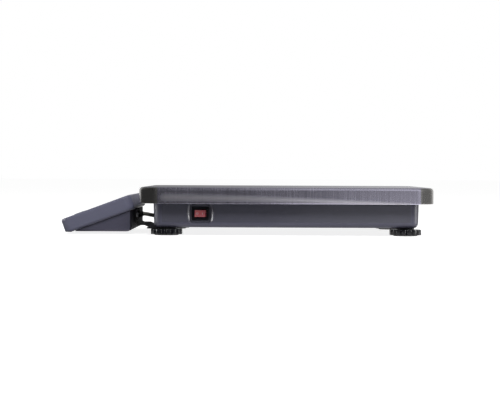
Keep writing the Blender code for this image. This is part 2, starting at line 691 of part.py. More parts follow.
def wall_holes():
    """Holes in the walls for the switch body, the cable's gland and the power inlet."""
    width = SWITCH_BODY_WIDTH + 2 * GAP
    height = SWITCH_BODY_HEIGHT + 2 * GAP
    depth = RECESS_WALL + 2 * OVERRUN
    window = shell(width, height, BEZEL_CORNER, [(0, 0), (0, depth)], BLOCK_STEPS)
    window = moved(window, (SWITCH_X, RECESS_BACK_Y + RECESS_WALL + OVERRUN, SWITCH_Z), TO_NEAR)
    through = BASE_WALL + BASE_DRAFT + 2 * OVERRUN
    gland = moved(rod(BOOT_PLUG + GAP, 0, through), (BASE_FRONT - OVERRUN, 0, CABLE_BASE_Z), TO_BACK)
    inlet = rod(JACK_BARREL + GAP, 0, through)
    inlet = moved(inlet, (BASE_HALF_X + OVERRUN, JACK_Y, JACK_Z), TO_FRONT)
    return [window, gland, inlet]


def cell_holes(middle):
    """Where the two screws stand along X at one end of the load cell."""
    return (middle - CELL_HOLE_PITCH / 2, middle + CELL_HOLE_PITCH / 2)


def sunk_hole(shank, head, sink_height, thickness):
    """A clearance hole for a countersunk screw whose head is level with z = 0."""
    mouth = head + GAP
    waist = shank + GAP
    flare = (mouth - waist) / sink_height * OVERRUN
    profile = [(mouth + flare, -OVERRUN), (waist, sink_height), (waist, thickness + OVERRUN)]
    return turned(profile, HOLE_STEPS)


def door_outline(grow):
    """The battery door seen from above, grown all round: a rectangle with a tongue at its back end."""
    end = DOOR_LENGTH / 2 + grow
    side = DOOR_WIDTH / 2 + grow
    tongue = DOOR_TONGUE / 2 + grow
    tip = end + DOOR_TONGUE
    left = [(-end, -side), (end, -side), (end, -tongue), (tip, -tongue)]
    return left + [(x, -y) for x, y in reversed(left)]


def plate(outline, bottom, top):
    """An outline in X and Y drawn up from one height to another."""
    return loft([[(x, y, z) for x, y in outline] for z in (bottom, top)])


def make_base_cover(parent, finish):
    lip_outside = BASE_WALL + GAP
    lip_inside = lip_outside + COVER_LIP_WALL
    lip_bottom = COVER_BOTTOM - COVER_LIP_DEPTH
    profile = [(lip_inside, COVER_BOTTOM), (lip_inside, lip_bottom), (lip_outside, lip_bottom)]
    profile += [(lip_outside, COVER_BOTTOM), (0, COVER_BOTTOM)]
    profile += [(0, COVER_TOP - COVER_EDGE), (COVER_EDGE, COVER_TOP)]
    form = shell(BASE_LENGTH, BASE_WIDTH, BASE_CORNER, profile)
    cover = add_piece("base_cover", form, finish, parent)
    low = COVER_BOTTOM - OVERRUN
    high = COVER_TOP + OVERRUN
    length = SPACER_LENGTH + 2 * OPENING_MARGIN
    width = CELL_WIDTH + 2 * OPENING_MARGIN
    opening = shell(length, width, OPENING_MARGIN, [(0, low), (0, high)], BLOCK_STEPS)
    holes = [moved(opening, (CELL_LIVE_X, 0, 0))]
    holes.append(moved(rod(VIAL_RADIUS + GAP, low, high, ROUND_STEPS), (VIAL_X, VIAL_Y, 0)))
    for _, (x, y) in corners(COVER_SCREW_X, COVER_SCREW_Y):
        holes.append(moved(rod(SMALL_SHANK + GAP, low, high), (x, y, 0)))
    cut(cover, "cover_holes", holes)


def make_load_cell(parent, alloy, steel):
    form = block(CELL_LENGTH, CELL_WIDTH, CELL_HEIGHT, CELL_EDGE)
    cell = add_piece("load_cell", form, alloy, parent, (0, 0, CELL_BOTTOM))
    waist = math.asin(CELL_SLOT_HALF / CELL_BORE_RADIUS)
    outline = []
    for side, start in ((1, waist - math.pi), (-1, waist)):
        sweep = 2 * (math.pi - waist)
        for step in range(HOLE_STEPS + 1):
            angle = start + sweep * step / HOLE_STEPS
            x = side * CELL_BORE_SPREAD + CELL_BORE_RADIUS * math.cos(angle)
            outline.append((x, CELL_BOTTOM + CELL_HEIGHT / 2 + CELL_BORE_RADIUS * math.sin(angle)))
    reach = CELL_WIDTH / 2 + OVERRUN
    holes = [prism(outline, -reach, reach)]
    hole = CELL_SCREW_SHANK + GAP
    depth = CELL_SCREW_GRIP + GAP
    for x in cell_holes(CELL_FIXED_X):
        holes.append(moved(rod(hole, CELL_BOTTOM - OVERRUN, CELL_BOTTOM + depth), (x, 0, 0)))
    for x in cell_holes(CELL_LIVE_X):
        holes.append(moved(rod(hole, CELL_TOP - depth, CELL_TOP + OVERRUN), (x, 0, 0)))
    cut(cell, "cell_holes", holes)

    fixed_base = FLOOR_TOP + GAP
    live_base = SPIDER_BOTTOM - GAP - UPPER_SPACER
    spacers = (
        ("lower_spacer", fixed_base, LOWER_SPACER, CELL_FIXED_X),
        ("upper_spacer", live_base, UPPER_SPACER, CELL_LIVE_X),
    )
    for name, base, height, middle in spacers:
        form = block(SPACER_LENGTH, CELL_WIDTH, height, CELL_EDGE)
        spacer = add_piece(name, form, steel, parent, (middle, 0, base))
        holes = []
        for x in cell_holes(middle):
            holes.append(moved(rod(hole, base - OVERRUN, base + height + OVERRUN), (x, 0, 0)))
        cut(spacer, name + "_holes", holes)

    sunk_length = CELL_BOTTOM + CELL_SCREW_GRIP - BASE_BOTTOM - CELL_SINK_HEIGHT
    for index, x in enumerate(cell_holes(CELL_FIXED_X), 1):
        form = screw(CELL_SCREW_SHANK, CELL_SCREW_HEAD, CELL_SINK_HEIGHT, sunk_length, True)
        add_piece(f"cell_lower_screw_{index}", form, steel, parent, (x, 0, BASE_BOTTOM))
    cap_seat = SPIDER_TOP + SPIDER_STEP + GAP
    cap_top = cap_seat + CELL_CAP_HEIGHT
    cap_length = cap_seat - CELL_TOP + CELL_SCREW_GRIP
    for index, x in enumerate(cell_holes(CELL_LIVE_X), 1):
        form = screw(CELL_SCREW_SHANK, CELL_SCREW_HEAD, CELL_CAP_HEIGHT, cap_length)
        add_piece(f"cell_upper_screw_{index}", form, steel, parent, (x, 0, cap_top), DOWNWARD)


def make_spider(parent, finish, rubber):
    """The cross-shaped carrier on the load cell's free end, with a rubber buffer at each tip."""
    hub_height = SPIDER_PLATE + SPIDER_STEP
    form = block(SPIDER_HUB_LENGTH, SPIDER_HUB_WIDTH, hub_height, SPIDER_EDGE, SPIDER_ARM_CORNER)
    spider = add_piece("spider", form, finish, parent, (0, 0, SPIDER_BOTTOM))
    reach = math.hypot(PAD_REACH_X, PAD_REACH_Y)
    angle = math.atan2(PAD_REACH_Y, PAD_REACH_X)
    length = 2 * (reach + SPIDER_ARM_RADIUS)
    rib_length = 2 * (reach - SPIDER_RIB_STOP)
    rib_base = SPIDER_TOP - SPIDER_PLATE / 2
    rib_height = SPIDER_PLATE / 2 + SPIDER_RIB_HEIGHT
    for side, turn in (("left", -angle), ("right", angle)):
        height = SPIDER_PLATE - SPIDER_STEP
        arm = block(length, 2 * SPIDER_ARM_RADIUS, height, SPIDER_EDGE, SPIDER_ARM_CORNER)
        fuse(spider, f"spider_arm_{side}", [moved(arm, (0, 0, SPIDER_TOP - height), (0, 0, turn))])
    for side, turn in (("left", -angle), ("right", angle)):
        rib = block(rib_length, SPIDER_RIB_WIDTH, rib_height, SPIDER_EDGE)
        fuse(spider, f"spider_rib_{side}", [moved(rib, (0, 0, rib_base), (0, 0, turn))])
    low = SPIDER_BOTTOM - OVERRUN
    high = SPIDER_TOP + SPIDER_STEP + OVERRUN
    holes = []
    for _, (x, y) in corners(PAD_REACH_X, PAD_REACH_Y):
        holes.append(moved(rod(BUFFER_STEM_RADIUS + GAP, low, high), (x, y, 0)))
    for x in cell_holes(CELL_LIVE_X):
        holes.append(moved(rod(CELL_SCREW_SHANK + GAP, low, high), (x, 0, 0)))
    cut(spider, "spider_holes", holes)
    for name, (x, y) in corners(PAD_REACH_X, PAD_REACH_Y):
        profile = [(BUFFER_STEM_RADIUS, -SPIDER_PLATE), (BUFFER_STEM_RADIUS, 0)]
        profile += [(BUFFER_RADIUS - BUFFER_EDGE, 0), (BUFFER_RADIUS, BUFFER_EDGE)]
        profile += [(BUFFER_RADIUS, BUFFER_HEIGHT - BUFFER_EDGE)]
        profile += [(BUFFER_RADIUS - BUFFER_EDGE, BUFFER_HEIGHT)]
        form = turned(profile, HOLE_STEPS)
        add_piece(f"pan_buffer_{name}", form, rubber, parent, (x, y, SPIDER_TOP + GAP))


def fluted_ring(inset, height):
    """The foot's outline at a height, with a scallop cut in for each flute."""
    count = FLUTES * FLUTE_FACETS
    ring = []
    for step in range(count):
        angle = 2 * math.pi * step / count
        depth = FLUTE_DEPTH * max(math.cos(FLUTES * angle), 0)
        radius = FOOT_RADIUS - inset - depth
        ring.append((radius * math.cos(angle), radius * math.sin(angle), height))
    return ring


def make_feet(parent, plastic, rubber, steel):
    under = FOOT_LIFT + FOOT_EDGE
    over = FOOT_HEIGHT - FOOT_EDGE
    for name, (x, y) in corners(FOOT_X, FOOT_Y):
        rings = [fluted_ring(FOOT_EDGE, FOOT_LIFT), fluted_ring(0, under)]
        rings += [fluted_ring(0, over), fluted_ring(FOOT_EDGE, FOOT_HEIGHT)]
        knob = add_piece(f"foot_{name}", loft(rings), plastic, parent, (x, y, 0), smooth=50)
        stud_foot = FOOT_HEIGHT - PAD_SEAT
        profile = [(STUD_RADIUS, stud_foot), (STUD_RADIUS, STUD_TOP - STUD_POINT)]
        profile += [(STUD_RADIUS - STUD_POINT, STUD_TOP)]
        fuse(knob, f"stud_{name}", [moved(turned(profile, HOLE_STEPS), (x, y, 0))])
        seat = rod(PAD_RADIUS + GAP, -OVERRUN, FOOT_LIFT + PAD_SEAT, ROUND_STEPS)
        cut(knob, f"seat_{name}", [moved(seat, (x, y, 0))])
        profile = [(PAD_RADIUS - PAD_EDGE, 0), (PAD_RADIUS, PAD_EDGE), (PAD_RADIUS, PAD_TOP)]
        add_piece(f"foot_pad_{name}", turned(profile), rubber, parent, (x, y, 0))
        if name.startswith("rear"):
            inner = STUD_RADIUS + GAP
            profile = [(inner, 0), (WASHER_RADIUS, 0), (WASHER_RADIUS, BRACKET_SHEET)]
            profile += [(inner, BRACKET_SHEET)]
            form = turned(profile, ROUND_STEPS, True)
            add_piece(f"foot_washer_{name}", form, steel, parent, (x, y, BRACKET_BOTTOM))


def make_switch(parent, plastic, red):
    place = (SWITCH_X, RECESS_BACK_Y, SWITCH_Z)
    socket = add_frame("switch_frame", parent, place, TO_NEAR)
    face = GAP + BEZEL_THICKNESS
    profile = [(0, GAP), (0, face - BEZEL_CORNER / 2), (BEZEL_CORNER / 2, face)]
    form = shell(BEZEL_WIDTH, BEZEL_HEIGHT, BEZEL_CORNER, profile, BLOCK_STEPS)
    body = add_piece("switch_body", form, plastic, socket)
    depths = [(0, -SWITCH_BODY_DEPTH), (0, GAP + BEZEL_THICKNESS / 2)]
    barrel = shell(SWITCH_BODY_WIDTH, SWITCH_BODY_HEIGHT, BEZEL_CORNER, depths, BLOCK_STEPS)
    fuse(body, "switch_barrel", [barrel], socket)
    blades = []
    for step in (-1, 0, 1):
        start = -SWITCH_BODY_DEPTH - TERMINAL_LENGTH
        length = TERMINAL_LENGTH + TERMINAL_THICKNESS
        blade = block(TERMINAL_THICKNESS, TERMINAL_WIDTH, length, TERMINAL_THICKNESS / 4)
        blades.append(moved(blade, (step * TERMINAL_PITCH, 0, start)))
    fuse(body, "switch_blades", blades, socket)
    length = ROCKER_WIDTH + 2 * GAP
    width = ROCKER_HEIGHT + 2 * GAP
    floor = -ROCKER_PIVOT - ROCKER_ROOT - ROCKER_KEEL - GAP
    depths = [(0, floor), (0, face + OVERRUN)]
    cut(body, "switch_well", [shell(length, width, BEZEL_CORNER / 2, depths, BLOCK_STEPS)], socket)

    half = ROCKER_WIDTH / 2
    outline = [(-half, -ROCKER_ROOT), (0, -ROCKER_ROOT - ROCKER_KEEL), (half, -ROCKER_ROOT)]
    outline += [(half - ROCKER_TAPER, ROCKER_CROWN), (0, ROCKER_DIP), (ROCKER_TAPER - half, ROCKER_CROWN)]
    rings = []
    for z in (-ROCKER_HEIGHT / 2, ROCKER_HEIGHT / 2):
        rings.append([(x, -out, z) for x, out in outline])
    pivot = (SWITCH_X, RECESS_BACK_Y + ROCKER_PIVOT, SWITCH_Z)
    add_piece("switch_rocker", loft(rings), red, parent, pivot, (0, 0, -ROCKER_TILT))


def make_power_inlet(parent, plastic):
    bottom = GAP - JACK_BORE_DEPTH
    profile = [(JACK_PIN, 0), (JACK_PIN, bottom), (JACK_BORE, bottom)]
    profile += [(JACK_BORE, GAP + JACK_FLANGE_THICKNESS), (JACK_FLANGE, GAP + JACK_FLANGE_THICKNESS)]
    profile += [(JACK_FLANGE, GAP), (JACK_BARREL, GAP), (JACK_BARREL, -JACK_BODY_DEPTH)]
    form = turned(profile, HOLE_STEPS)
    add_piece("power_inlet", form, plastic, parent, (BASE_HALF_X, JACK_Y, JACK_Z), TO_BACK)


def make_battery(parent, plastic, steel, cover_finish):
    form = block(BATTERY_LENGTH, BATTERY_WIDTH, BATTERY_HEIGHT, BATTERY_EDGE)
    battery = add_piece("battery", form, plastic, parent, (0, BATTERY_Y, BATTERY_BOTTOM))
    tabs = []
    x = BATTERY_LENGTH / 2 - BATTERY_TAB_INSET
    z = BATTERY_TOP - 2 * BATTERY_TAB_HEIGHT
    for side in (-1, 1):
        y = BATTERY_Y + side * (BATTERY_WIDTH / 2 - BATTERY_TAB_INSET)
        height = 2 * BATTERY_TAB_HEIGHT
        edge = BATTERY_TAB_THICKNESS / 4
        tab = block(BATTERY_TAB_THICKNESS, BATTERY_TAB_WIDTH, height, edge)
        tabs.append(moved(tab, (-x, y, z)))
    fuse(battery, "battery_tabs", tabs)

    low = BASE_BOTTOM + GAP
    form = plate(door_outline(0), 0, DOOR_THICKNESS)
    door = add_piece("battery_door", form, cover_finish, parent, (0, BATTERY_Y, low))
    hole = sunk_hole(SMALL_SHANK, SMALL_HEAD, DOOR_SINK_HEIGHT, DOOR_THICKNESS)
    cut(door, "door_hole", [moved(hole, (DOOR_SCREW_X, BATTERY_Y, low))])
    form = screw(SMALL_SHANK, SMALL_HEAD, DOOR_SINK_HEIGHT, DOOR_SCREW_LENGTH, True)
    add_piece("battery_door_screw", form, steel, parent, (DOOR_SCREW_X, BATTERY_Y, low))


def make_base_board(parent, finish):
    form = block(BOARD_LENGTH, BOARD_WIDTH, BOARD_THICKNESS, BOARD_THICKNESS / 8)
    board = add_piece("base_board", form, finish, parent, (BOARD_X, 0, BOARD_BOTTOM))
    height = 2 * CONNECTOR_HALF + BOARD_THICKNESS / 2
    plug = block(CONNECTOR_LENGTH, CONNECTOR_WIDTH, height, BOARD_THICKNESS / 4)
    plug_x = BOARD_FRONT + CONNECTOR_LENGTH / 2
    rooted = BOARD_BOTTOM + BOARD_THICKNESS / 2
    parts = [moved(plug, (plug_x, 0, rooted))]
    for share_x, share_y in BOARD_CHIP_SHARES:
        chip = block(CONNECTOR_WIDTH, CONNECTOR_LENGTH, CONNECTOR_HALF, BOARD_THICKNESS / 4)
        place = (BOARD_X + share_x * BOARD_LENGTH, share_y * BOARD_WIDTH, rooted)
        parts.append(moved(chip, place))
    fuse(board, "base_board_parts", parts)


def make_level_vial(parent, finish):
    rim = VIAL_FLANGE_THICKNESS
    profile = [(VIAL_RADIUS, -VIAL_DEPTH), (VIAL_RADIUS, 0), (VIAL_FLANGE, 0), (VIAL_FLANGE, rim)]
    profile += [(VIAL_RADIUS, rim), (VIAL_RADIUS / 2, rim + VIAL_DOME)]
    form = turned(profile)
    add_piece("level_vial", form, finish, parent, (VIAL_X, VIAL_Y, COVER_TOP + GAP))


def make_cover_screws(parent, steel):
    top = COVER_TOP + GAP + SMALL_HEAD_HEIGHT
    for name, (x, y) in corners(COVER_SCREW_X, COVER_SCREW_Y):
        form = screw(SMALL_SHANK, SMALL_HEAD, SMALL_HEAD_HEIGHT, COVER_SCREW_LENGTH)
        add_piece(f"cover_screw_{name}", form, steel, parent, (x, y, top), DOWNWARD)


def strip_outline(path, thickness):
    """A bent strip's outline: the path set off by half the thickness to each side, mitred at its bends."""
    sides = ([], [])
    for index, point in enumerate(path):
        before = Vector(path[max(index - 1, 0)])
        here = Vector(point)
        after = Vector(path[min(index + 1, len(path) - 1)])
        ways = [way.normalized() for way in (here - before, after - here) if way.length > 0]
        along = sum(ways, Vector((0, 0))).normalized()
        across = Vector((-along.y, along.x)) * (thickness / 2 / along.dot(ways[0]))
        sides[0].append(tuple(here + across))
        sides[1].append(tuple(here - across))
    return sides[0] + sides[1][::-1]


def make_bracket(parent, finish, steel):
    corner_z = BRACKET_TONGUE_Z + BRACKET_BEND
    path = [(FLANGE_X, FLANGE_TOP)]
    for step in range(BRACKET_FACETS + 1):
        angle = math.pi + math.pi / 2 * step / BRACKET_FACETS
        x = FLANGE_X + BRACKET_BEND + BRACKET_BEND * math.cos(angle)
        path.append((x, corner_z + BRACKET_BEND * math.sin(angle)))
    joggle_end = BASE_FRONT - BRACKET_FRONT_LIP
    path.append((joggle_end - BRACKET_JOGGLE, BRACKET_TONGUE_Z))
    path.append((joggle_end, BRACKET_PLATE_Z))
    path.append((BASE_FRONT + BRACKET_BACK_REACH, BRACKET_PLATE_Z))
    half_width = BASE_HALF_Y - BRACKET_SIDE_INSET
    form = prism(strip_outline(path, BRACKET_SHEET), -half_width, half_width)
    bracket = add_piece("display_bracket", form, finish, parent)

    sides = []
    width = half_width - BRACKET_TONGUE / 2 + OVERRUN
    length = joggle_end + BRACKET_SHEET - FLANGE_X + BRACKET_SHEET + OVERRUN
    heights = [(0, BRACKET_BOTTOM - OVERRUN), (0, FLANGE_TOP + OVERRUN)]
    for side in (-1, 1):
        box = shell(length, width, BRACKET_CORNER, heights)
        middle_x = joggle_end + BRACKET_SHEET - length / 2
        sides.append(moved(box, (middle_x, side * (BRACKET_TONGUE + width) / 2, 0)))
    cut(bracket, "bracket_sides", sides)

    low = BRACKET_BOTTOM - OVERRUN
    high = BRACKET_BOTTOM + BRACKET_SHEET + OVERRUN
    reach = BRACKET_SHEET + 2 * OVERRUN
    start = FLANGE_X - reach / 2
    holes = []
    for side in (-1, 1):
        holes.append(moved(rod(STUD_RADIUS + GAP, low, high), (-FOOT_X, side * FOOT_Y, 0)))
        hole = rod(BRACKET_SCREW_SHANK + GAP, low, high)
        holes.append(moved(hole, (BASE_SCREW_X, side * BRACKET_SCREW_Y, 0)))
        hole = rod(BRACKET_SCREW_SHANK + GAP, 0, reach)
        holes.append(moved(hole, (start, side * BRACKET_SCREW_Y, DISPLAY_SCREW_Z), TO_BACK))
    cut(bracket, "bracket_holes", holes)
    notch = []
    for step in range(HOLE_STEPS + 1):
        angle = -math.pi * step / HOLE_STEPS
        notch.append((CABLE_NOTCH * math.cos(angle), CABLE_DISPLAY_Z + CABLE_NOTCH * math.sin(angle)))
    notch += [(-CABLE_NOTCH, FLANGE_TOP + OVERRUN), (CABLE_NOTCH, FLANGE_TOP + OVERRUN)]
    rings = [[(x, y, z) for y, z in notch] for x in (start, start + reach)]
    cut(bracket, "bracket_notch", [loft(rings)])

    form_values = (BRACKET_SCREW_SHANK, BRACKET_SCREW_HEAD, BRACKET_SCREW_HEIGHT, BRACKET_SCREW_LENGTH)
    screw_z = BRACKET_BOTTOM - GAP - BRACKET_SCREW_HEIGHT
    screw_x = FLANGE_X + BRACKET_SHEET / 2 + GAP + BRACKET_SCREW_HEIGHT
    for name, side in (("left", -1), ("right", 1)):
        place = (BASE_SCREW_X, side * BRACKET_SCREW_Y, screw_z)
        add_piece(f"bracket_base_screw_{name}", screw(*form_values), steel, parent, place)
        place = (screw_x, side * BRACKET_SCREW_Y, DISPLAY_SCREW_Z)
        add_piece(f"bracket_display_screw_{name}", screw(*form_values), steel, parent, place, TO_FRONT)


def wedge_outline(inset, lift=0):
    """The wedge from the side: level below, upright behind, and its top along the slab's underside."""
    bottom = WEDGE_BOTTOM + inset
    rear = WEDGE_REAR - inset
    front = WEDGE_FRONT + inset / TILT_SLOPE
    heel = WEDGE_HEEL - inset
    points = [(front, bottom)]
    for step in range(EDGE_STEPS + 1):
        angle = math.pi / 2 * (step / EDGE_STEPS - 1)
        points.append((rear - heel + heel * math.cos(angle), bottom + heel + heel * math.sin(angle)))
    for x in (rear, front):
        points.append((x, x * TILT_SLOPE - GAP / TILT_COS + lift))
    return points


def floor_height(along, level):
    """The height in the tilted frame of a level plane of the display, at a place along the slab."""
    return (level - along * TILT_SIN) / TILT_COS


def post_on_floor(along, across):
    """A post square to the slab that starts inside the wedge's level floor and ends under the board."""
    circle = [2 * math.pi * step / HOLE_STEPS for step in range(HOLE_STEPS)]
    places = []
    for angle in circle:
        x = along + DISPLAY_POST_RADIUS * math.cos(angle)
        places.append((x, across + DISPLAY_POST_RADIUS * math.sin(angle)))
    root = WEDGE_BOTTOM + WEDGE_WALL / 2
    top = DISPLAY_BOARD_BOTTOM - GAP
    return loft([[(x, y, floor_height(x, root)) for x, y in places], [(x, y, top) for x, y in places]])


def make_rear_housing(level, tilt, finish):
    stations = []
    for step in range(EDGE_STEPS + 1):
        angle = math.pi / 2 * step / EDGE_STEPS
        set_in = WEDGE_EDGE * (1 - math.sin(angle))
        stations.append((set_in, -WEDGE_WIDTH / 2 + WEDGE_EDGE * (1 - math.cos(angle))))
    stations += [(set_in, -y) for set_in, y in reversed(stations)]
    form = loft([[(x, y, z) for x, z in wedge_outline(inset)] for inset, y in stations])
    housing = add_piece("display_rear_housing", form, finish, level)
    half_inside = WEDGE_WIDTH / 2 - WEDGE_WALL
    cavity = prism(wedge_outline(WEDGE_WALL, OVERRUN), -half_inside, half_inside)
    cut(housing, "wedge_cavity", [cavity], level)

    posts = []
    bores = []
    throughs = []
    for along in DISPLAY_SCREWS_ALONG:
        for side in (-1, 1):
            across = side * DISPLAY_SCREW_Y
            posts.append(post_on_floor(along, across))
            low = floor_height(along, WEDGE_BOTTOM) - SMALL_HEAD - OVERRUN
            bores.append(moved(rod(SMALL_HEAD + GAP, low, -DISPLAY_SEAT), (along, across, 0)))
            hole = rod(SMALL_SHANK + GAP, -DISPLAY_SEAT - OVERRUN / 2, DISPLAY_BOARD_BOTTOM + OVERRUN)
            throughs.append(moved(hole, (along, across, 0)))
    fuse(housing, "wedge_posts", posts, tilt)
    boss_z = DISPLAY_SCREW_Z - DISPLAY_RISE
    bosses = []
    holes = []
    for side in (-1, 1):
        place = (WEDGE_REAR - WEDGE_WALL / 2, side * BRACKET_SCREW_Y, boss_z)
        bosses.append(moved(rod(REAR_BOSS_RADIUS, 0, REAR_BOSS_DEPTH), place, TO_FRONT))
        place = (WEDGE_REAR + OVERRUN, side * BRACKET_SCREW_Y, boss_z)
        depth = BRACKET_SCREW_LENGTH + OVERRUN
        holes.append(moved(rod(BRACKET_SCREW_SHANK + GAP, 0, depth), place, TO_FRONT))
    fuse(housing, "wedge_bosses", bosses, level)
    place = (WEDGE_REAR + OVERRUN, 0, CABLE_DISPLAY_Z - DISPLAY_RISE)
    holes.append(moved(rod(BOOT_PLUG + GAP, 0, WEDGE_WALL + 2 * OVERRUN), place, TO_FRONT))
    cut(housing, "wedge_rear_holes", holes, level)
    cut(housing, "wedge_head_bores", bores, tilt)
    cut(housing, "wedge_screw_holes", throughs, tilt)


def key_places():
    """Where the keys stand across the display, evenly about its middle."""
    return [KEY_PITCH * (index - (KEY_COUNT - 1) / 2) for index in range(KEY_COUNT)]


def key_holes(low, high):
    length = KEY_LENGTH + 2 * GAP
    width = KEY_WIDTH + 2 * GAP
    holes = []
    for across in key_places():
        hole = shell(length, width, KEY_CORNER, [(0, low), (0, high)], BLOCK_STEPS)
        holes.append(moved(hole, (KEY_FROM_FRONT, across, 0)))
    return holes


def window_hole(grow, low, high):
    length = WINDOW_LENGTH + 2 * grow
    hole = shell(length, WINDOW_WIDTH + 2 * grow, WINDOW_CORNER, [(0, low), (0, high)], BLOCK_STEPS)
    return moved(hole, (WINDOW_ALONG, 0, 0))


def make_front_housing(level, tilt, finish):
    profile = [(DISPLAY_WALL, PLATE_UNDER), (DISPLAY_WALL, DISPLAY_RIM_HEIGHT + DISPLAY_RIM_BLEND)]
    profile += [(DISPLAY_RIM, DISPLAY_RIM_HEIGHT), (DISPLAY_RIM, 0)]
    profile += arc(DISPLAY_BOTTOM_EDGE, DISPLAY_BOTTOM_EDGE, DISPLAY_BOTTOM_EDGE, -90, 0)
    shoulder = DISPLAY_THICKNESS - DISPLAY_TOP_EDGE
    profile += arc(DISPLAY_TOP_EDGE, shoulder, DISPLAY_TOP_EDGE, 0, 90)
    form = shell(DISPLAY_LENGTH, DISPLAY_WIDTH, DISPLAY_CORNER, profile, EDGE_STEPS)
    middle = DISPLAY_LENGTH / 2
    housing = add_piece("display_front_housing", form, finish, tilt, (middle, 0, 0))
    bosses = []
    bores = []
    for along in DISPLAY_SCREWS_ALONG:
        for side in (-1, 1):
            place = (along, side * DISPLAY_SCREW_Y, 0)
            boss = rod(DISPLAY_BOSS_RADIUS, DISPLAY_BOARD_TOP + GAP, PLATE_UNDER + DISPLAY_PLATE / 2)
            bosses.append(moved(boss, place))
            bore = rod(SMALL_SHANK + GAP, DISPLAY_BOARD_TOP, DISPLAY_BOARD_TOP + DISPLAY_SCREW_REACH + GAP)
            bores.append(moved(bore, place))
    heights = [(0, GAP), (0, APRON_THICKNESS)]
    width = DISPLAY_WIDTH - 2 * APRON_FRONT
    apron = shell(APRON_REAR - APRON_FRONT, width, APRON_ROOT, heights, BLOCK_STEPS)
    bosses.append(moved(apron, ((APRON_FRONT + APRON_REAR) / 2, 0, 0)))
    fuse(housing, "display_bosses", bosses, tilt)
    cut(housing, "display_bores", bores, tilt)
    heights = [(0, -DISPLAY_THICKNESS), (0, DISPLAY_FLAT_Z - DISPLAY_RISE)]
    flat = shell(2 * DISPLAY_THICKNESS, DISPLAY_WIDTH + 2 * OVERRUN, OVERRUN, heights, BLOCK_STEPS)
    cut(housing, "display_tip_flat", [flat], level)
    top = DISPLAY_THICKNESS + OVERRUN
    heights = [(0, FACE_SEAT), (0, top)]
    recess = shell(FACE_LENGTH + 2 * GAP, FACE_WIDTH + 2 * GAP, FACE_CORNER, heights, BLOCK_STEPS)
    cut(housing, "display_face_recess", [moved(recess, (middle, 0, 0))], tilt)
    cut(housing, "display_window_rebate", [window_hole(GAP, WINDOW_BOTTOM - GAP, top)], tilt)
    low = PLATE_UNDER - OVERRUN
    cut(housing, "display_openings", [window_hole(-WINDOW_LIP, low, top)] + key_holes(low, top), tilt)


def make_display_face(tilt, sheet_finish, clear, key_finish):
    middle = DISPLAY_LENGTH / 2
    low = DISPLAY_THICKNESS - FACE_SHEET
    heights = [(0, low), (0, DISPLAY_THICKNESS)]
    form = shell(FACE_LENGTH, FACE_WIDTH, FACE_CORNER, heights, BLOCK_STEPS)
    sheet = add_piece("keypad_overlay", form, sheet_finish, tilt, (middle, 0, 0))
    under = low - OVERRUN
    over = DISPLAY_THICKNESS + OVERRUN
    cut(sheet, "overlay_openings", [window_hole(-WINDOW_LIP, under, over)] + key_holes(under, over), tilt)
    heights = [(0, WINDOW_BOTTOM), (0, WINDOW_TOP)]
    form = shell(WINDOW_LENGTH, WINDOW_WIDTH, WINDOW_CORNER, heights, BLOCK_STEPS)
    add_piece("display_window", form, clear, tilt, (WINDOW_ALONG, 0, 0))

    rise = DISPLAY_THICKNESS + KEY_PROUD - KEY_FOOT
    profile = [(-KEY_FLANGE, 0), (-KEY_FLANGE, KEY_FLANGE_THICKNESS), (0, KEY_FLANGE_THICKNESS)]
    profile += [(0, rise - KEY_EDGE), (KEY_EDGE, rise)]
    for index, across in enumerate(key_places(), 1):
        form = shell(KEY_LENGTH, KEY_WIDTH, KEY_CORNER, profile, BLOCK_STEPS)
        add_piece(f"key_{index}", form, key_finish, tilt, (KEY_FROM_FRONT, across, KEY_FOOT))


def make_display_inside(tilt, board_finish, panel_finish, steel):
    length = WINDOW_LENGTH - 2 * PANEL_MARGIN
    width = WINDOW_WIDTH - 2 * PANEL_MARGIN
    form = block(length, width, PANEL_THICKNESS, PANEL_MARGIN / 4)
    add_piece("lcd_panel", form, panel_finish, tilt, (WINDOW_ALONG, 0, PANEL_BOTTOM))

    middle = DISPLAY_LENGTH / 2
    length = DISPLAY_LENGTH - 2 * DISPLAY_BOARD_INSET
    width = DISPLAY_WIDTH - 2 * DISPLAY_BOARD_SIDE_INSET
    form = block(length, width, BOARD_THICKNESS, BOARD_THICKNESS / 8, DISPLAY_CORNER / 2)
    board = add_piece("display_board", form, board_finish, tilt, (middle, 0, DISPLAY_BOARD_BOTTOM))
    core = DISPLAY_BOARD_BOTTOM + BOARD_THICKNESS / 2
    parts = []
    for across in key_places():
        tact = block(TACT_SIZE, TACT_SIZE, TACT_TOP - core, BOARD_THICKNESS / 4)
        parts.append(moved(tact, (KEY_FROM_FRONT, across, core)))
    plug = block(PLUG_LENGTH, PLUG_WIDTH, core - PLUG_LOW, BOARD_THICKNESS / 4)
    parts.append(moved(plug, (PLUG_FACE - PLUG_LENGTH / 2, 0, PLUG_LOW)))
    fuse(board, "display_board_parts", parts, tilt)
    holes = []
    length = DISPLAY_BOARD_TOP + DISPLAY_SCREW_REACH + DISPLAY_SEAT + GAP
    low = DISPLAY_BOARD_BOTTOM - OVERRUN
    for row, along in zip(("front", "rear"), DISPLAY_SCREWS_ALONG):
        for name, side in (("left", -1), ("right", 1)):
            across = side * DISPLAY_SCREW_Y
            hole = rod(SMALL_SHANK + GAP, low, DISPLAY_BOARD_TOP + OVERRUN)
            holes.append(moved(hole, (along, across, 0)))
            form = screw(SMALL_SHANK, SMALL_HEAD, SMALL_HEAD_HEIGHT, length)
            place = (along, across, -DISPLAY_SEAT - GAP - SMALL_HEAD_HEIGHT)
            add_piece(f"display_screw_{row}_{name}", form, steel, tilt, place)
    cut(board, "display_board_holes", holes, tilt)


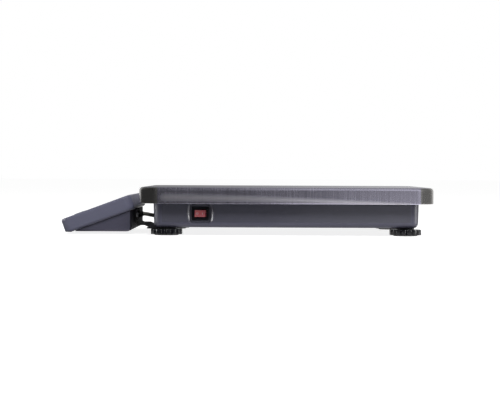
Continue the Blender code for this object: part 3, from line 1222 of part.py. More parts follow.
def collar(flange, flange_thickness, nose, length, inner_depth):
    """A bushing round the cable: a plug inside the wall, a flange outside it and a nose past the flange."""
    bore = CABLE_RADIUS + GAP
    face = GAP + flange_thickness
    profile = [(BOOT_PLUG, -inner_depth), (BOOT_PLUG, GAP), (flange, GAP), (flange, face)]
    profile += [(nose, face), (nose, length), (bore, length), (bore, -inner_depth)]
    return turned(profile, ROUND_STEPS, True)


def make_cable(parent, rubber, cord):
    form = collar(BOOT_FLANGE, BOOT_FLANGE_THICKNESS, BOOT_NOSE, BOOT_LENGTH, BOOT_INNER_DEPTH)
    add_piece("cable_boot", form, rubber, parent, (REAR_FACE_X, 0, CABLE_DISPLAY_Z), TO_BACK)
    form = collar(GLAND_FLANGE, GLAND_FLANGE_THICKNESS, BOOT_NOSE, GLAND_LENGTH, BOOT_INNER_DEPTH)
    add_piece("cable_gland", form, rubber, parent, (BASE_FRONT, 0, CABLE_BASE_Z), TO_FRONT)

    start = DISPLAY_X + PLUG_FACE * TILT_COS - PLUG_CABLE_UP * TILT_SIN + GAP
    stop = BOARD_FRONT - GAP
    nose = REAR_FACE_X + BOOT_LENGTH
    gland = BASE_FRONT - GLAND_LENGTH
    route = [(start, CABLE_DISPLAY_Z), ((start + REAR_FACE_X) / 2, CABLE_DISPLAY_Z)]
    for step in range(CABLE_SPAN_POINTS + 1):
        share = step / CABLE_SPAN_POINTS
        ease = share * share * (3 - 2 * share)
        z = CABLE_DISPLAY_Z + (CABLE_BASE_Z - CABLE_DISPLAY_Z) * ease
        route.append((nose + (gland - nose) * share, z))
    route.append((stop, CABLE_BASE_Z))
    curve = bpy.data.curves.new("display_cable", "CURVE")
    curve.dimensions = "3D"
    curve.bevel_depth = CABLE_RADIUS
    curve.bevel_resolution = CABLE_BEVEL
    curve.use_fill_caps = True
    line = curve.splines.new("POLY")
    line.points.add(len(route) - 1)
    for point, (x, z) in zip(line.points, route):
        point.co = (x, 0, z, 1)
    curve.materials.append(cord)
    cable = bpy.data.objects.new("display_cable", curve)
    bpy.context.scene.collection.objects.link(cable)
    cable.parent = parent


def main():
    clear_scene()
    steel = material("brushed_stainless", (0.42, 0.42, 0.43), 0.3, 1.0)
    zinc = material("zinc_steel", (0.55, 0.55, 0.57), 0.35, 1.0)
    alloy = material("aluminium", (0.62, 0.63, 0.65), 0.4, 1.0)
    cast = material("cast_alloy", (0.38, 0.38, 0.40), 0.55, 1.0)
    painted = material("black_painted_steel", (0.02, 0.02, 0.022), 0.45)
    shell_grey = material("blue_grey_plastic", (0.075, 0.075, 0.1), 0.5)
    slab_grey = material("light_blue_grey_plastic", (0.10, 0.10, 0.13), 0.5)
    black = material("black_plastic", (0.015, 0.015, 0.016), 0.4)
    rubber = material("black_rubber", (0.02, 0.02, 0.02), 0.8)
    red = material("red_plastic", (0.45, 0.04, 0.05), 0.3)
    cord = material("cable_sheath", (0.05, 0.05, 0.045), 0.6)
    green = material("circuit_board", (0.02, 0.16, 0.07), 0.5)
    vial = material("level_vial", (0.55, 0.75, 0.25), 0.15)
    clear = material("clear_window", (0.6, 0.65, 0.65), 0.1, 0.0, 0.35)
    panel = material("lcd_panel", (0.36, 0.42, 0.30), 0.3)
    face = material("keypad_sheet", (0.05, 0.06, 0.08), 0.45)
    key = material("key_plastic", (0.30, 0.31, 0.33), 0.5)

    base = add_frame("scale_frame", None, (PAN_CENTRE_X, 0, 0))
    level = add_frame("display_frame", base, (DISPLAY_X, 0, DISPLAY_RISE))
    tilt = add_frame("display_tilt", level, (0, 0, 0), (0, -DISPLAY_TILT, 0))
    make_pan(base, steel)
    make_base_tub(base, shell_grey)
    make_base_cover(base, shell_grey)
    make_cover_screws(base, zinc)
    make_load_cell(base, alloy, zinc)
    make_spider(base, cast, rubber)
    make_feet(base, black, rubber, zinc)
    make_switch(base, black, red)
    make_power_inlet(base, black)
    make_battery(base, black, zinc, shell_grey)
    make_base_board(base, green)
    make_level_vial(base, vial)
    make_bracket(base, painted, zinc)
    make_rear_housing(level, tilt, shell_grey)
    make_front_housing(level, tilt, slab_grey)
    make_display_face(tilt, face, clear, key)
    make_display_inside(tilt, green, panel, zinc)
    make_cable(base, rubber, cord)


main()
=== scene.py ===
"""Looks for the digital packing scale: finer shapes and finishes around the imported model."""

import json
import math

import bmesh
import bpy
from mathutils import Euler, Matrix, Vector


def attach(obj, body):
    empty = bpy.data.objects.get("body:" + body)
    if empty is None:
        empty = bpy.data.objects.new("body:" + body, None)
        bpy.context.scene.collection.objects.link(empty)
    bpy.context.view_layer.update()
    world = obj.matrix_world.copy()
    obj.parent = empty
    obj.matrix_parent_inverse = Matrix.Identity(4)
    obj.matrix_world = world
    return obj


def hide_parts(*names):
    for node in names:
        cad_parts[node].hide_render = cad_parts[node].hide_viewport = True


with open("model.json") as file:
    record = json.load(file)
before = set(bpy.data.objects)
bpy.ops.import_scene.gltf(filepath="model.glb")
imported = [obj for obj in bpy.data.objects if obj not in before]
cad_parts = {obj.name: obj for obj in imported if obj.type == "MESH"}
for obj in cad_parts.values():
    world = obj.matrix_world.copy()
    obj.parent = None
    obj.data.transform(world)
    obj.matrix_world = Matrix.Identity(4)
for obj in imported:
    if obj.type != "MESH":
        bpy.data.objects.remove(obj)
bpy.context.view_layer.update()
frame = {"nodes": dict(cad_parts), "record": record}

# Sizes repeated from the part's source, in metres
GAP = 0.0003
PAN_X = 0.046403
TILT = math.radians(20.3)
COS = math.cos(TILT)
SIN = math.sin(TILT)
SLAB = Vector((86.5, 220.0, 17.7)) / 1000
BASE_HALF_X = 0.15375
BASE_HALF_Y = 0.1338
BASE_LOW = 0.0092
COVER_TOP = 0.0428
WALL_X = PAN_X - BASE_HALF_X
REAR_X = WALL_X - 0.0266
WEDGE_REAR = SLAB.x * COS - 0.0041
SLAB_X = REAR_X - WEDGE_REAR
SLAB_Z = 0.0003
FOOT_X = 0.13875
FOOT_Y = 0.118
BRACKET_SCREW_Y = 0.042
FLANGE_SCREW_Z = 0.02085
DISPLAY_SCREWS_ALONG = (0.0245, SLAB.x - 0.0185)
DISPLAY_SCREW_Y = 0.095
CELL_SCREWS_X = (-0.056, -0.041)
SWITCH_X = -0.09915
SWITCH_Z = 0.02535
INLET_Y = -0.0888
INLET_Z = 0.0242
DOOR_Y = 0.072
LEAD_Z = 0.02175
GLAND_Z = 0.0195
CABLE_RADIUS = 0.00235
KEY_ALONG = 0.0205
KEY_ACROSS = [0.034 * (i - 2) for i in range(5)]
KEY_SEAT = 0.0127
WINDOW_ALONG = 0.0538

# Where pieces are drawn: the display upright, the display tilted, and the base
LEVEL = Matrix.Translation((SLAB_X, 0, SLAB_Z))
TILTED = LEVEL @ Matrix.Rotation(-TILT, 4, "Y")
BASE = Matrix.Translation((PAN_X, 0, 0))

# Turns that bring an upright axis to the right, the left, the camera or down
TO_RIGHT = (0, math.pi / 2, 0)
TO_LEFT = (0, -math.pi / 2, 0)
TO_CAMERA = (math.pi / 2, 0, 0)
DOWN = (math.pi, 0, 0)

SIDES = (("left", -1), ("right", 1))
CORNERS = {"front_left": (-1, -1), "front_right": (-1, 1), "rear_left": (1, -1), "rear_right": (1, 1)}


def corners(half_x, half_y):
    return [(name, sx * half_x, sy * half_y) for name, (sx, sy) in CORNERS.items()]


# ---- mesh helpers

def loft(rings, joined=False):
    """A solid through the rings, closed at both ends or with its last ring joined to its first."""
    form = bmesh.new()
    loops = [[form.verts.new(p) for p in ring] for ring in rings]
    pairs = list(zip(loops, loops[1:]))
    if joined:
        pairs.append((loops[-1], loops[0]))
    else:
        form.faces.new(reversed(loops[0]))
        form.faces.new(loops[-1])
    for lower, upper in pairs:
        for i, corner in enumerate(lower):
            j = (i + 1) % len(lower)
            form.faces.new((corner, lower[j], upper[j], upper[i]))
    bmesh.ops.recalc_face_normals(form, faces=form.faces)
    return form


def bow(x, y, radius, start, stop, steps):
    """Points on an arc about a centre, between two angles in degrees."""
    angles = [math.radians(start + (stop - start) * step / steps) for step in range(steps + 1)]
    return [(x + radius * math.cos(a), y + radius * math.sin(a)) for a in angles]


def circle(radius, steps):
    angles = [2 * math.pi * i / steps for i in range(steps)]
    return [(radius * math.cos(a), radius * math.sin(a)) for a in angles]


def rounded(length, width, corner, steps):
    points = []
    for quarter, (sx, sy) in enumerate(((1, 1), (-1, 1), (-1, -1), (1, -1))):
        cx = sx * (length / 2 - corner)
        cy = sy * (width / 2 - corner)
        for step in range(steps + 1):
            a = math.pi / 2 * (quarter + step / steps)
            points.append((cx + corner * math.cos(a), cy + corner * math.sin(a)))
    return points


def mirrored(half):
    return half + [(x, -y) for x, y in reversed(half)]


def raised(outline, low, high):
    """An outline in x and y, drawn out from one height to another."""
    return loft([[(x, y, z) for x, y in outline] for z in (low, high)])


def widened(outline, half):
    """An outline in x and z, drawn out to both sides of the middle."""
    return loft([[(x, y, z) for x, z in outline] for y in (-half, half)])


def shell(length, width, corner, profile, steps=10):
    """A rounded box whose sides follow a profile of insets and heights."""
    rings = []
    for inset, z in profile:
        radius = max(corner - inset, 0.0002)
        outline = rounded(length - 2 * inset, width - 2 * inset, radius, steps)
        rings.append([(x, y, z) for x, y in outline])
    return loft(rings)


def block(length, width, corner, low, high, steps, x=0, y=0):
    """A rounded box with upright sides."""
    return placed(shell(length, width, corner, [(0, low), (0, high)], steps), at(x, y, 0))


def arc(inset, z, radius, start, stop, steps=8):
    """A rounded edge in a profile of insets and heights."""
    return [(inset - x, up) for x, up in bow(0, z, radius, start, stop, steps)]


def turned(profile, steps=48, joined=False):
    """A profile of radii and heights, turned about the upright axis."""
    return loft([[(x, y, z) for x, y in circle(radius, steps)] for radius, z in profile], joined)


def rod(radius, low, high, x=0, y=0, z=0, turn=(0, 0, 0), steps=32):
    return placed(turned([(radius, low), (radius, high)], steps), at(x, y, z, turn))


def placed(form, matrix):
    bmesh.ops.transform(form, matrix=matrix, verts=form.verts)
    return form


def at(x, y, z, turn=(0, 0, 0)):
    return Matrix.Translation((x, y, z)) @ Euler(turn).to_matrix().to_4x4()


# ---- objects

def linked(name, data):
    made = bpy.data.objects.new(name, data)
    bpy.context.scene.collection.objects.link(made)
    return made


def new_object(name, form, material, smooth=35):
    mesh = bpy.data.meshes.new(name)
    form.to_mesh(mesh)
    form.free()
    mesh.shade_smooth()
    mesh.set_sharp_from_angle(angle=math.radians(smooth))
    mesh.materials.append(material)
    return linked(name, mesh)


def new_piece(name, form, finish, smooth=35):
    return new_object(name, form, FINISHES[finish], smooth)


def add_piece(name, form, finish, nodes=(), body="base", smooth=35):
    """A piece that needs no cuts, with its finish."""
    stand(new_piece(name, form, finish, smooth), nodes, body)


def boolean(piece, forms, operation="DIFFERENCE"):
    """Cuts the forms away from the piece one by one, or joins them on, and keeps the result."""
    helpers = []
    for form in forms:
        helper = new_object("helper", form, piece.data.materials[0])
        helpers.append(helper)
        step = piece.modifiers.new("step", "BOOLEAN")
        step.operation = operation
        step.solver = "EXACT"
        step.object = helper
    settle(piece)
    for helper in helpers:
        bpy.data.meshes.remove(helper.data)


def settle(piece):
    """Applies the piece's modifiers to its mesh."""
    bpy.context.view_layer.update()
    shown = piece.evaluated_get(bpy.context.evaluated_depsgraph_get())
    mesh = bpy.data.meshes.new_from_object(shown)
    piece.modifiers.clear()
    old = piece.data
    piece.data = mesh
    bpy.data.meshes.remove(old)
    mesh.shade_smooth()
    mesh.set_sharp_from_angle(angle=math.radians(35))


def soften(piece, width):
    """Rounds the piece's sharp edges a little, so that they catch light."""
    step = piece.modifiers.new("edges", "BEVEL")
    step.width = width
    step.segments = 2
    step.limit_method = "ANGLE"
    step.angle_limit = math.radians(40)
    settle(piece)


def regloss(piece, finish, chosen):
    """Gives the chosen faces of a piece a second finish."""
    piece.data.materials.append(FINISHES[finish])
    for face in piece.data.polygons:
        if chosen(face):
            face.material_index = len(piece.data.materials) - 1


def stand(piece, nodes, body="base"):
    """The piece stands for these CAD nodes and rides on the body."""
    if nodes:
        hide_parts(*nodes)
    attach(piece, body)
    if piece.type == "MESH":
        even = piece.modifiers.new("even_normals", "WEIGHTED_NORMAL")
        even.keep_sharp = True


# ---- materials

WHITE = (1, 1, 1, 1)

# The colour sockets of a Mix node, by index
MIX_A, MIX_B, MIXED = 6, 7, 2


class Tree:
    """A node tree and short calls that add to it; a source is a value or another node's output."""

    def __init__(self, owner, empty=True):
        owner.use_nodes = True
        self.tree = owner.node_tree
        if empty:
            self.tree.nodes.clear()

    def put(self, socket, source):
        if isinstance(source, bpy.types.NodeSocket):
            self.tree.links.new(source, socket)
        else:
            socket.default_value = source

    def add(self, kind, sources=None, **settings):
        """Adds a node with these settings and returns its outputs."""
        node = self.tree.nodes.new(f"ShaderNode{kind}")
        for name, value in settings.items():
            setattr(node, name, value)
        for key, source in (sources or {}).items():
            self.put(node.inputs[key], source)
        return node.outputs

    def maths(self, operation, *sources):
        return self.add("Math", dict(enumerate(sources)), operation=operation)[0]

    def plus(self, a, b):
        return self.maths("ADD", a, b)

    def times(self, a, b):
        return self.maths("MULTIPLY", a, b)

    def off(self, a, centre=0.0):
        """How far a is from the centre, to either side."""
        return self.maths("ABSOLUTE", self.maths("SUBTRACT", a, centre))

    def spread(self, source, low, high, start=0.3, stop=0.7):
        """Low where the source is at the start and high where it is at the stop."""
        sources = {"Value": source, "From Min": start, "From Max": stop, "To Min": low, "To Max": high}
        return self.add("MapRange", sources)["Result"]

    def mixed(self, share, a, b):
        """A colour between a and b; a fixed one is given as three values."""
        a, b = ((*c, 1) if isinstance(c, tuple) else c for c in (a, b))
        return self.add("Mix", {"Factor": share, MIX_A: a, MIX_B: b}, data_type="RGBA")[MIXED]

    def seen(self):
        """1 for rays that show a thing straight, in a gloss or through glass, and 0 for others."""
        path = self.add("LightPath")
        other = self.maths("MAXIMUM", path["Is Glossy Ray"], path["Is Transmission Ray"])
        return self.maths("MAXIMUM", path["Is Camera Ray"], other)


class Finish(Tree):
    """A Principled material whose colour, roughness and bump come from textures in object space."""

    def __init__(self, name, colour, roughness, metallic=0.0):
        self.material = bpy.data.materials.new(name)
        self.material.diffuse_color = (*colour, 1)
        super().__init__(self.material, False)
        self.colour = colour
        self.roughness = roughness
        self.shade({"Base Color": (*colour, 1), "Roughness": roughness, "Metallic": metallic})
        self.place = self.add("TexCoord")["Object"]
        self.normal = None

    def shade(self, sources):
        """Sets or links inputs of the shader."""
        shader = self.tree.nodes["Principled BSDF"]
        for name, source in sources.items():
            self.put(shader.inputs[name], source)

    def noise(self, scale, detail=3.0, roughness=0.5, stretch=(1, 1, 1)):
        place = self.add("VectorMath", {0: self.place, 1: stretch}, operation="MULTIPLY")[0]
        sources = {"Scale": scale, "Detail": detail, "Roughness": roughness, "Vector": place}
        return self.add("TexNoise", sources)["Fac"]

    def tint(self, source):
        """The colour, a tenth darker to a tenth lighter as the source goes from 0 to 1."""
        low = tuple(c * (1 - 0.10) for c in self.colour)
        high = tuple(min(c * (1 + 0.10), 1) for c in self.colour)
        self.shade({"Base Color": self.mixed(source, low, high)})

    def rough(self, source, share):
        low = max(self.roughness - share, 0.02)
        self.shade({"Roughness": self.spread(source, low, self.roughness + share)})

    def bump(self, source, height):
        """Adds a bump of this height to those before it."""
        sources = {"Distance": height, "Height": source}
        if self.normal:
            sources["Normal"] = self.normal
        self.normal = self.add("Bump", sources)["Normal"]
        self.shade({"Normal": self.normal})


def moulded(name, colour, roughness, grain=0.00002, scale=1600.0, gloss=0.4):
    """Moulded plastic: a fine spark-eroded grain, faint flow marks and rubbed places."""
    f = Finish(name, colour, roughness)
    fine = f.noise(scale, 2.0)
    f.tint(f.plus(f.times(f.noise(14.0, 4.0), 0.7), f.times(fine, 0.3)))
    f.rough(f.noise(60.0, 5.0, 0.7, (1, 1, 3)), 0.07)
    f.bump(fine, grain)
    f.shade({"Specular IOR Level": gloss})
    return f


def metal(name, colour, roughness, stretch=(1, 1, 1), scale=300.0, depth=0.00001):
    """Bare metal with marks of its making, drawn out by the stretch."""
    f = Finish(name, colour, roughness, 1.0)
    marks = f.noise(scale, 4.0, 0.6, stretch)
    f.tint(f.plus(f.times(marks, 0.5), f.times(f.noise(25.0, 3.0), 0.5)))
    f.rough(marks, 0.09)
    f.bump(marks, depth)
    return f


def glass_like(name, colour, roughness):
    f = Finish(name, colour, roughness)
    f.shade({"Transmission Weight": 1.0, "IOR": 1.45})
    f.rough(f.noise(40.0, 4.0), 0.02)
    return f


def stainless():
    """Brushed sheet: streaks front to back on top and upright on the end skirts, ground corners, and a
    painted highlight line along the skirt that faces the camera, lighter in colour and rougher."""
    f = Finish("brushed_stainless_finish", (0.60, 0.60, 0.615), 0.27, 1.0)
    x, y, z = f.add("SeparateXYZ", {0: f.place})
    facing = f.add("SeparateXYZ", {0: f.add("NewGeometry")["Normal"]})

    on_end = f.maths("GREATER_THAN", f.off(facing["X"]), 0.75)
    along_y = f.noise(1.0, 5.0, 0.65, (1500, 9, 9))
    coarse_y = f.noise(1.0, 3.0, 0.6, (260, 2.5, 2.5))
    along_end = f.noise(1.0, 5.0, 0.65, (9, 9, 1500))
    streaks = f.add("Mix", {"Factor": on_end, "A": along_y, "B": along_end})["Result"]

    beyond_x = f.maths("GREATER_THAN", f.off(x, PAN_X + 0.0028), 0.1510)
    beyond_y = f.maths("GREATER_THAN", f.off(y), 0.1272)
    upright = f.maths("LESS_THAN", f.off(facing["Z"]), 0.93)
    corner = f.times(f.times(beyond_x, beyond_y), upright)

    # The painted highlight line sags, and it narrows to the right
    height = f.plus(f.plus(f.times(x, -0.021), f.times(f.times(x, x), -0.06)), 0.04275)
    width = f.plus(f.times(x, -0.014), 0.0056)
    near = f.spread(f.maths("DIVIDE", f.off(z, height), width), 1, 0, 0, 1)
    inward = f.spread(f.off(x, PAN_X), 1, 0, 0.138, 0.147)
    front = f.times(inward, f.maths("LESS_THAN", y, -0.149))
    # Painted highlight: a band on the front skirt that stands in for a reflection
    painted_highlight_line = f.times(f.times(f.maths("POWER", near, 1.6), front), f.spread(streaks, 0.8, 1.1))

    body = f.mixed(f.spread(streaks, 0, 1, 0.25, 0.75), (0.51, 0.49, 0.61), (0.69, 0.665, 0.82))
    # The painted highlight makes the front skirt near white along the line
    body_with_painted_highlight = f.mixed(painted_highlight_line, body, (0.92, 0.90, 0.96))
    ground = f.mixed(f.noise(500.0, 4.0), (0.42, 0.41, 0.40), (0.50, 0.49, 0.48))
    rough = f.plus(f.spread(streaks, 0.17, 0.27), f.spread(f.noise(9.0, 4.0, 0.6), -0.03, 0.04))
    across = f.add("CombineXYZ", {"X": 1.0, "Z": 0.001})[0]
    f.shade({
        "Base Color": f.mixed(corner, body_with_painted_highlight, ground),
        "Roughness": f.plus(rough, f.times(painted_highlight_line, 0.62)),
        "Anisotropic": 0.6,
        "Tangent": across,
    })
    f.bump(streaks, 0.000004)
    f.bump(coarse_y, 0.000003)
    return f


def make_finishes():
    finishes = {
        "blue_grey_plastic": moulded("blue_grey_moulding", (0.094, 0.093, 0.134), 0.36),
        "light_blue_grey_plastic": moulded("light_blue_grey_moulding", (0.128, 0.130, 0.186), 0.36),
        # The base's blue grey with painted shade, darker for the wedge under the slab's overhang
        "shaded_wedge_plastic": moulded("painted_shade_blue_grey_moulding", (0.073, 0.071, 0.104), 0.36),
        "black_plastic": moulded("black_moulding", (0.008, 0.008, 0.011), 0.19, 0.000005, 900.0, 0.32),
        "polished_grey": moulded("polished_blue_grey_moulding", (0.095, 0.095, 0.125), 0.22, gloss=0.5),
        # Near black and matt: painted shade for the wedge's rear face in the gap towards the base
        "wedge_back_painted_shade": moulded("painted_shade_matt_moulding", (0.020, 0.020, 0.026), 0.7, gloss=0.05),
        "black_rubber": moulded("black_rubber_finish", (0.022, 0.021, 0.021), 0.75, 0.00003, 1200.0),
        "cable_sheath": moulded("cable_sheath_finish", (0.25, 0.245, 0.215), 0.5, 0.00002, 1500.0),
        "key_plastic": moulded("key_moulding", (0.36, 0.37, 0.39), 0.42),
        "black_painted_steel": moulded("black_powder_coat", (0.008, 0.008, 0.009), 0.6, 0.00004, 700.0),
        "red_plastic": moulded("red_moulding", (0.68, 0.17, 0.19), 0.28, 0.000006, 1200.0),
        "keypad_sheet": moulded("keypad_film", (0.045, 0.052, 0.075), 0.4, 0.00001, 2200.0),
        "print": moulded("printed_mark", (0.55, 0.57, 0.6), 0.45, 0.000004),
        "switch_print": moulded("switch_print", (0.80, 0.60, 0.61), 0.45, 0.000004),
        "zinc_steel": metal("zinc_plate", (0.62, 0.62, 0.65), 0.32),
        "aluminium": metal("milled_aluminium", (0.74, 0.75, 0.77), 0.3, (3, 0.2, 0.2)),
        "cast_alloy": metal("cast_aluminium", (0.48, 0.48, 0.50), 0.55, (1, 1, 1), 900.0, 0.00008),
        "circuit_board": moulded("solder_mask", (0.015, 0.13, 0.055), 0.35, 0.00003, 260.0),
        "level_vial": glass_like("vial_capsule", (0.86, 0.95, 0.80), 0.03),
        "liquid": moulded("vial_liquid", (0.45, 0.75, 0.12), 0.15),
        "clear_window": glass_like("clear_acrylic", (0.93, 0.95, 0.95), 0.05),
        "lcd_panel": moulded("panel_glass", (0.38, 0.43, 0.33), 0.18, 0.000002, 3000.0),
        "segment": moulded("panel_segment", (0.03, 0.04, 0.035), 0.3, 0.000002),
        "brushed_stainless": stainless(),
    }
    finishes["red_plastic"].shade({
        "Coat Weight": 0.4,
        "Coat Roughness": 0.12,
        "Subsurface Weight": 0.25,
        "Subsurface Scale": 0.002,
        "Subsurface Radius": (1.0, 0.2, 0.1),
    })
    return {name: finish.material for name, finish in finishes.items()}


FINISHES = make_finishes()


def dress_nodes():
    """Gives every CAD node its finish, for those that stay in the scene."""
    for part in frame["record"]["subparts"]:
        mesh = frame["nodes"][part["node"]].data
        mesh.materials.clear()
        mesh.materials.append(FINISHES[part["material_slot"]])
        mesh.shade_smooth()
        mesh.set_sharp_from_angle(angle=math.radians(32))


# ---- the scale's body

def make_pan():
    """Folded sheet with a rounded upper edge and a rolled lower one."""
    bend = 0.0042
    sheet = 0.0012
    low = 0.0370
    bend_z = 0.0559 - bend
    profile = arc(bend, bend_z, bend - sheet, 90, 0, 10)
    profile += [(sheet, low + 0.0003), (sheet - 0.0003, low), (0.0006, low), (0.0003, low + 0.00008)]
    profile += [(0.00008, low + 0.0003), (0, low + 0.0006), (0, low + 0.0011), (0, bend_z - 0.0004)]
    profile += arc(bend, bend_z, bend, 0, 90, 16)
    form = placed(shell(0.340, 0.300, 0.020, profile, 20), BASE)
    add_piece("weighing_pan", form, "brushed_stainless", ["pan"], body="pan")


def recess_form():
    """The dished recess for the switch: its end walls are arcs that slope in from a rounded mouth."""
    # How far the ends and the height draw in, and the depth from the wall's face
    stations = [(-0.0031, -0.0024, -0.0020), (-0.0025, -0.0020, 0.0), (-0.0021, -0.0015, 0.00012)]
    stations += [(-0.0017, -0.0010, 0.0004), (-0.0008, -0.0007, 0.0011), (0.0001, -0.0004, 0.0018)]
    stations += [(0.0007, -0.0002, 0.0025), (0.0010, 0.0, 0.0035), (0.0012, 0.0004, 0.0046)]
    stations += [(0.0030, 0.0030, 0.0050)]
    rings = []
    for end_inset, inset, depth in stations:
        ring = []
        for side in (1, -1):
            for step in range(17):
                share = 2 * step / 16 - 1
                bulge = 0.0024 * math.sqrt(max(1 - share * share, 0))
                x = side * (0.0108 - end_inset + bulge)
                z = side * share * (0.01035 - inset)
                ring.append((SWITCH_X + x, depth - BASE_HALF_Y, SWITCH_Z + z))
        rings.append(ring)
    return loft(rings)


def door_opening():
    """The battery door's outline with its tongue, wider than the door by the gap."""
    end = 0.0523 + GAP
    side = 0.0293 + GAP
    tongue = 0.006 + GAP
    half = [(-end, -side), (end, -side), (end, -tongue), (end + 0.012, -tongue)]
    return placed(raised(mirrored(half), 0.0072, 0.0114), at(0, DOOR_Y, 0))


def make_tub():
    top = 0.0400
    profile = arc(0.0066, BASE_LOW + 0.0060, 0.0060, -90, 0, 10)
    profile += [(0, top - 0.0003), (0.0003, top), (0.0022, top), (0.0025, top - 0.0003)]
    profile += arc(0.0061, 0.0157, 0.0030, 0, -90, 5)
    form = shell(2 * BASE_HALF_X, 2 * BASE_HALF_Y, 0.010, profile, 14)
    tub = new_piece("base_housing", form, "blue_grey_plastic")
    boolean(tub, [block(0.0340, 0.0056, 0.0012, 0.0118, 0.0382, 3, SWITCH_X, -0.1291)], "UNION")
    opening = block(0.0182, 0.0132, 0.0010, 0, 0.0065, 4)
    cuts = [recess_form(), placed(opening, at(SWITCH_X, -0.1243, SWITCH_Z, TO_CAMERA))]
    for _, x, y in corners(FOOT_X, FOOT_Y):
        cuts.append(rod(0.0042, 0.007, 0.02, x, y))
    for _, side in SIDES:
        cuts.append(rod(0.0022, 0.007, 0.02, -FOOT_X, side * BRACKET_SCREW_Y))
    for x in CELL_SCREWS_X:
        sink = turned([(0.0074, 0.0072), (0.0032, 0.0117), (0.0032, 0.02)], 32)
        cuts.append(placed(sink, at(x, 0, 0)))
    cuts.append(rod(0.0045, -0.002, 0.006, -BASE_HALF_X, 0, GLAND_Z, turn=TO_RIGHT))
    cuts.append(rod(0.0043, -0.006, 0.002, BASE_HALF_X, INLET_Y, INLET_Z, turn=TO_RIGHT))
    cuts.append(door_opening())
    cuts.append(block(0.0986, 0.0526, 0.0012, 0.0090, 0.0160, 3, 0, DOOR_Y))
    boolean(tub, cuts)
    tub.data.transform(BASE)

    def in_recess(face):
        x, y, z = face.center
        near = abs(x - PAN_X - SWITCH_X) < 0.0165 and abs(z - SWITCH_Z) < 0.0128
        return near and -0.1337 < y < -0.1285

    regloss(tub, "polished_grey", in_recess)
    stand(tub, ["base_tub"])


def knob_form():
    """A fluted disc with rounded edges."""
    flutes = 16
    count = flutes * 12
    stations = [(0.0009, 0.0010), (0.0003, 0.0012), (0, 0.0017)]
    stations += [(0, 0.0067), (0.0003, 0.0072), (0.0009, 0.0074)]
    rings = []
    for inset, z in stations:
        ring = []
        for i in range(count):
            a = 2 * math.pi * i / count
            wave = max(math.cos(flutes * a), 0)
            radius = 0.0184 - inset - 0.0017 * wave * wave
            ring.append((radius * math.cos(a), radius * math.sin(a), z))
        rings.append(ring)
    return loft(rings)


def stud_form():
    """A stud with a helical M8 thread."""
    low, high = 0.0070, 0.0300
    pitch = 0.00125
    steps = 32
    count = int((high - low) / pitch * 6)
    rings = []
    for k in range(count + 1):
        z = low + (high - low) * k / count
        ring = []
        for i in range(steps):
            a = 2 * math.pi * i / steps
            phase = (z / pitch - i / steps) % 1
            radius = 0.0039 - 0.0006 * abs(2 * phase - 1)
            ring.append((radius * math.cos(a), radius * math.sin(a), z))
        rings.append(ring)
    return loft(rings)


def make_feet():
    knob = new_piece("foot_master", knob_form(), "black_plastic")
    boolean(knob, [rod(0.0143, -0.001, 0.0023, steps=64)])
    stud = new_piece("stud_master", stud_form(), "zinc_steel", 20)
    profile = [(0.0030, 0.0004), (0.0040, 0.0), (0.0130, 0.0)]
    profile += [(0.0138, 0.0003), (0.0140, 0.0008), (0.0140, 0.0020)]
    pad = new_piece("pad_master", turned(profile, 64), "black_rubber")
    washer = [(0.0042, 0.0077), (0.0101, 0.0077), (0.0103, 0.0079)]
    washer += [(0.0103, 0.0087), (0.0101, 0.0089), (0.0042, 0.0089)]
    for name, x, y in corners(FOOT_X, FOOT_Y):
        place = at(x + PAN_X, y, 0)
        for master, kind, slot, node, body in (
            (knob, "levelling_foot", "black_plastic", [f"foot_{name}"], "knob"),
            (stud, "levelling_stud", "zinc_steel", [], "knob"),
            (pad, "levelling_pad", "black_rubber", [f"foot_pad_{name}"], "pad"),
        ):
            piece = linked(f"{kind}_{name}", master.data.copy())
            piece.data.transform(place)
            stand(piece, node, f"foot_{body}_{name}")
        if name.startswith("rear"):
            form = placed(turned(washer, 48, True), place)
            nodes = [f"foot_washer_{name}"]
            add_piece(f"washer_{name}", form, "black_painted_steel", nodes)
    for master in (knob, stud, pad):
        bpy.data.objects.remove(master)


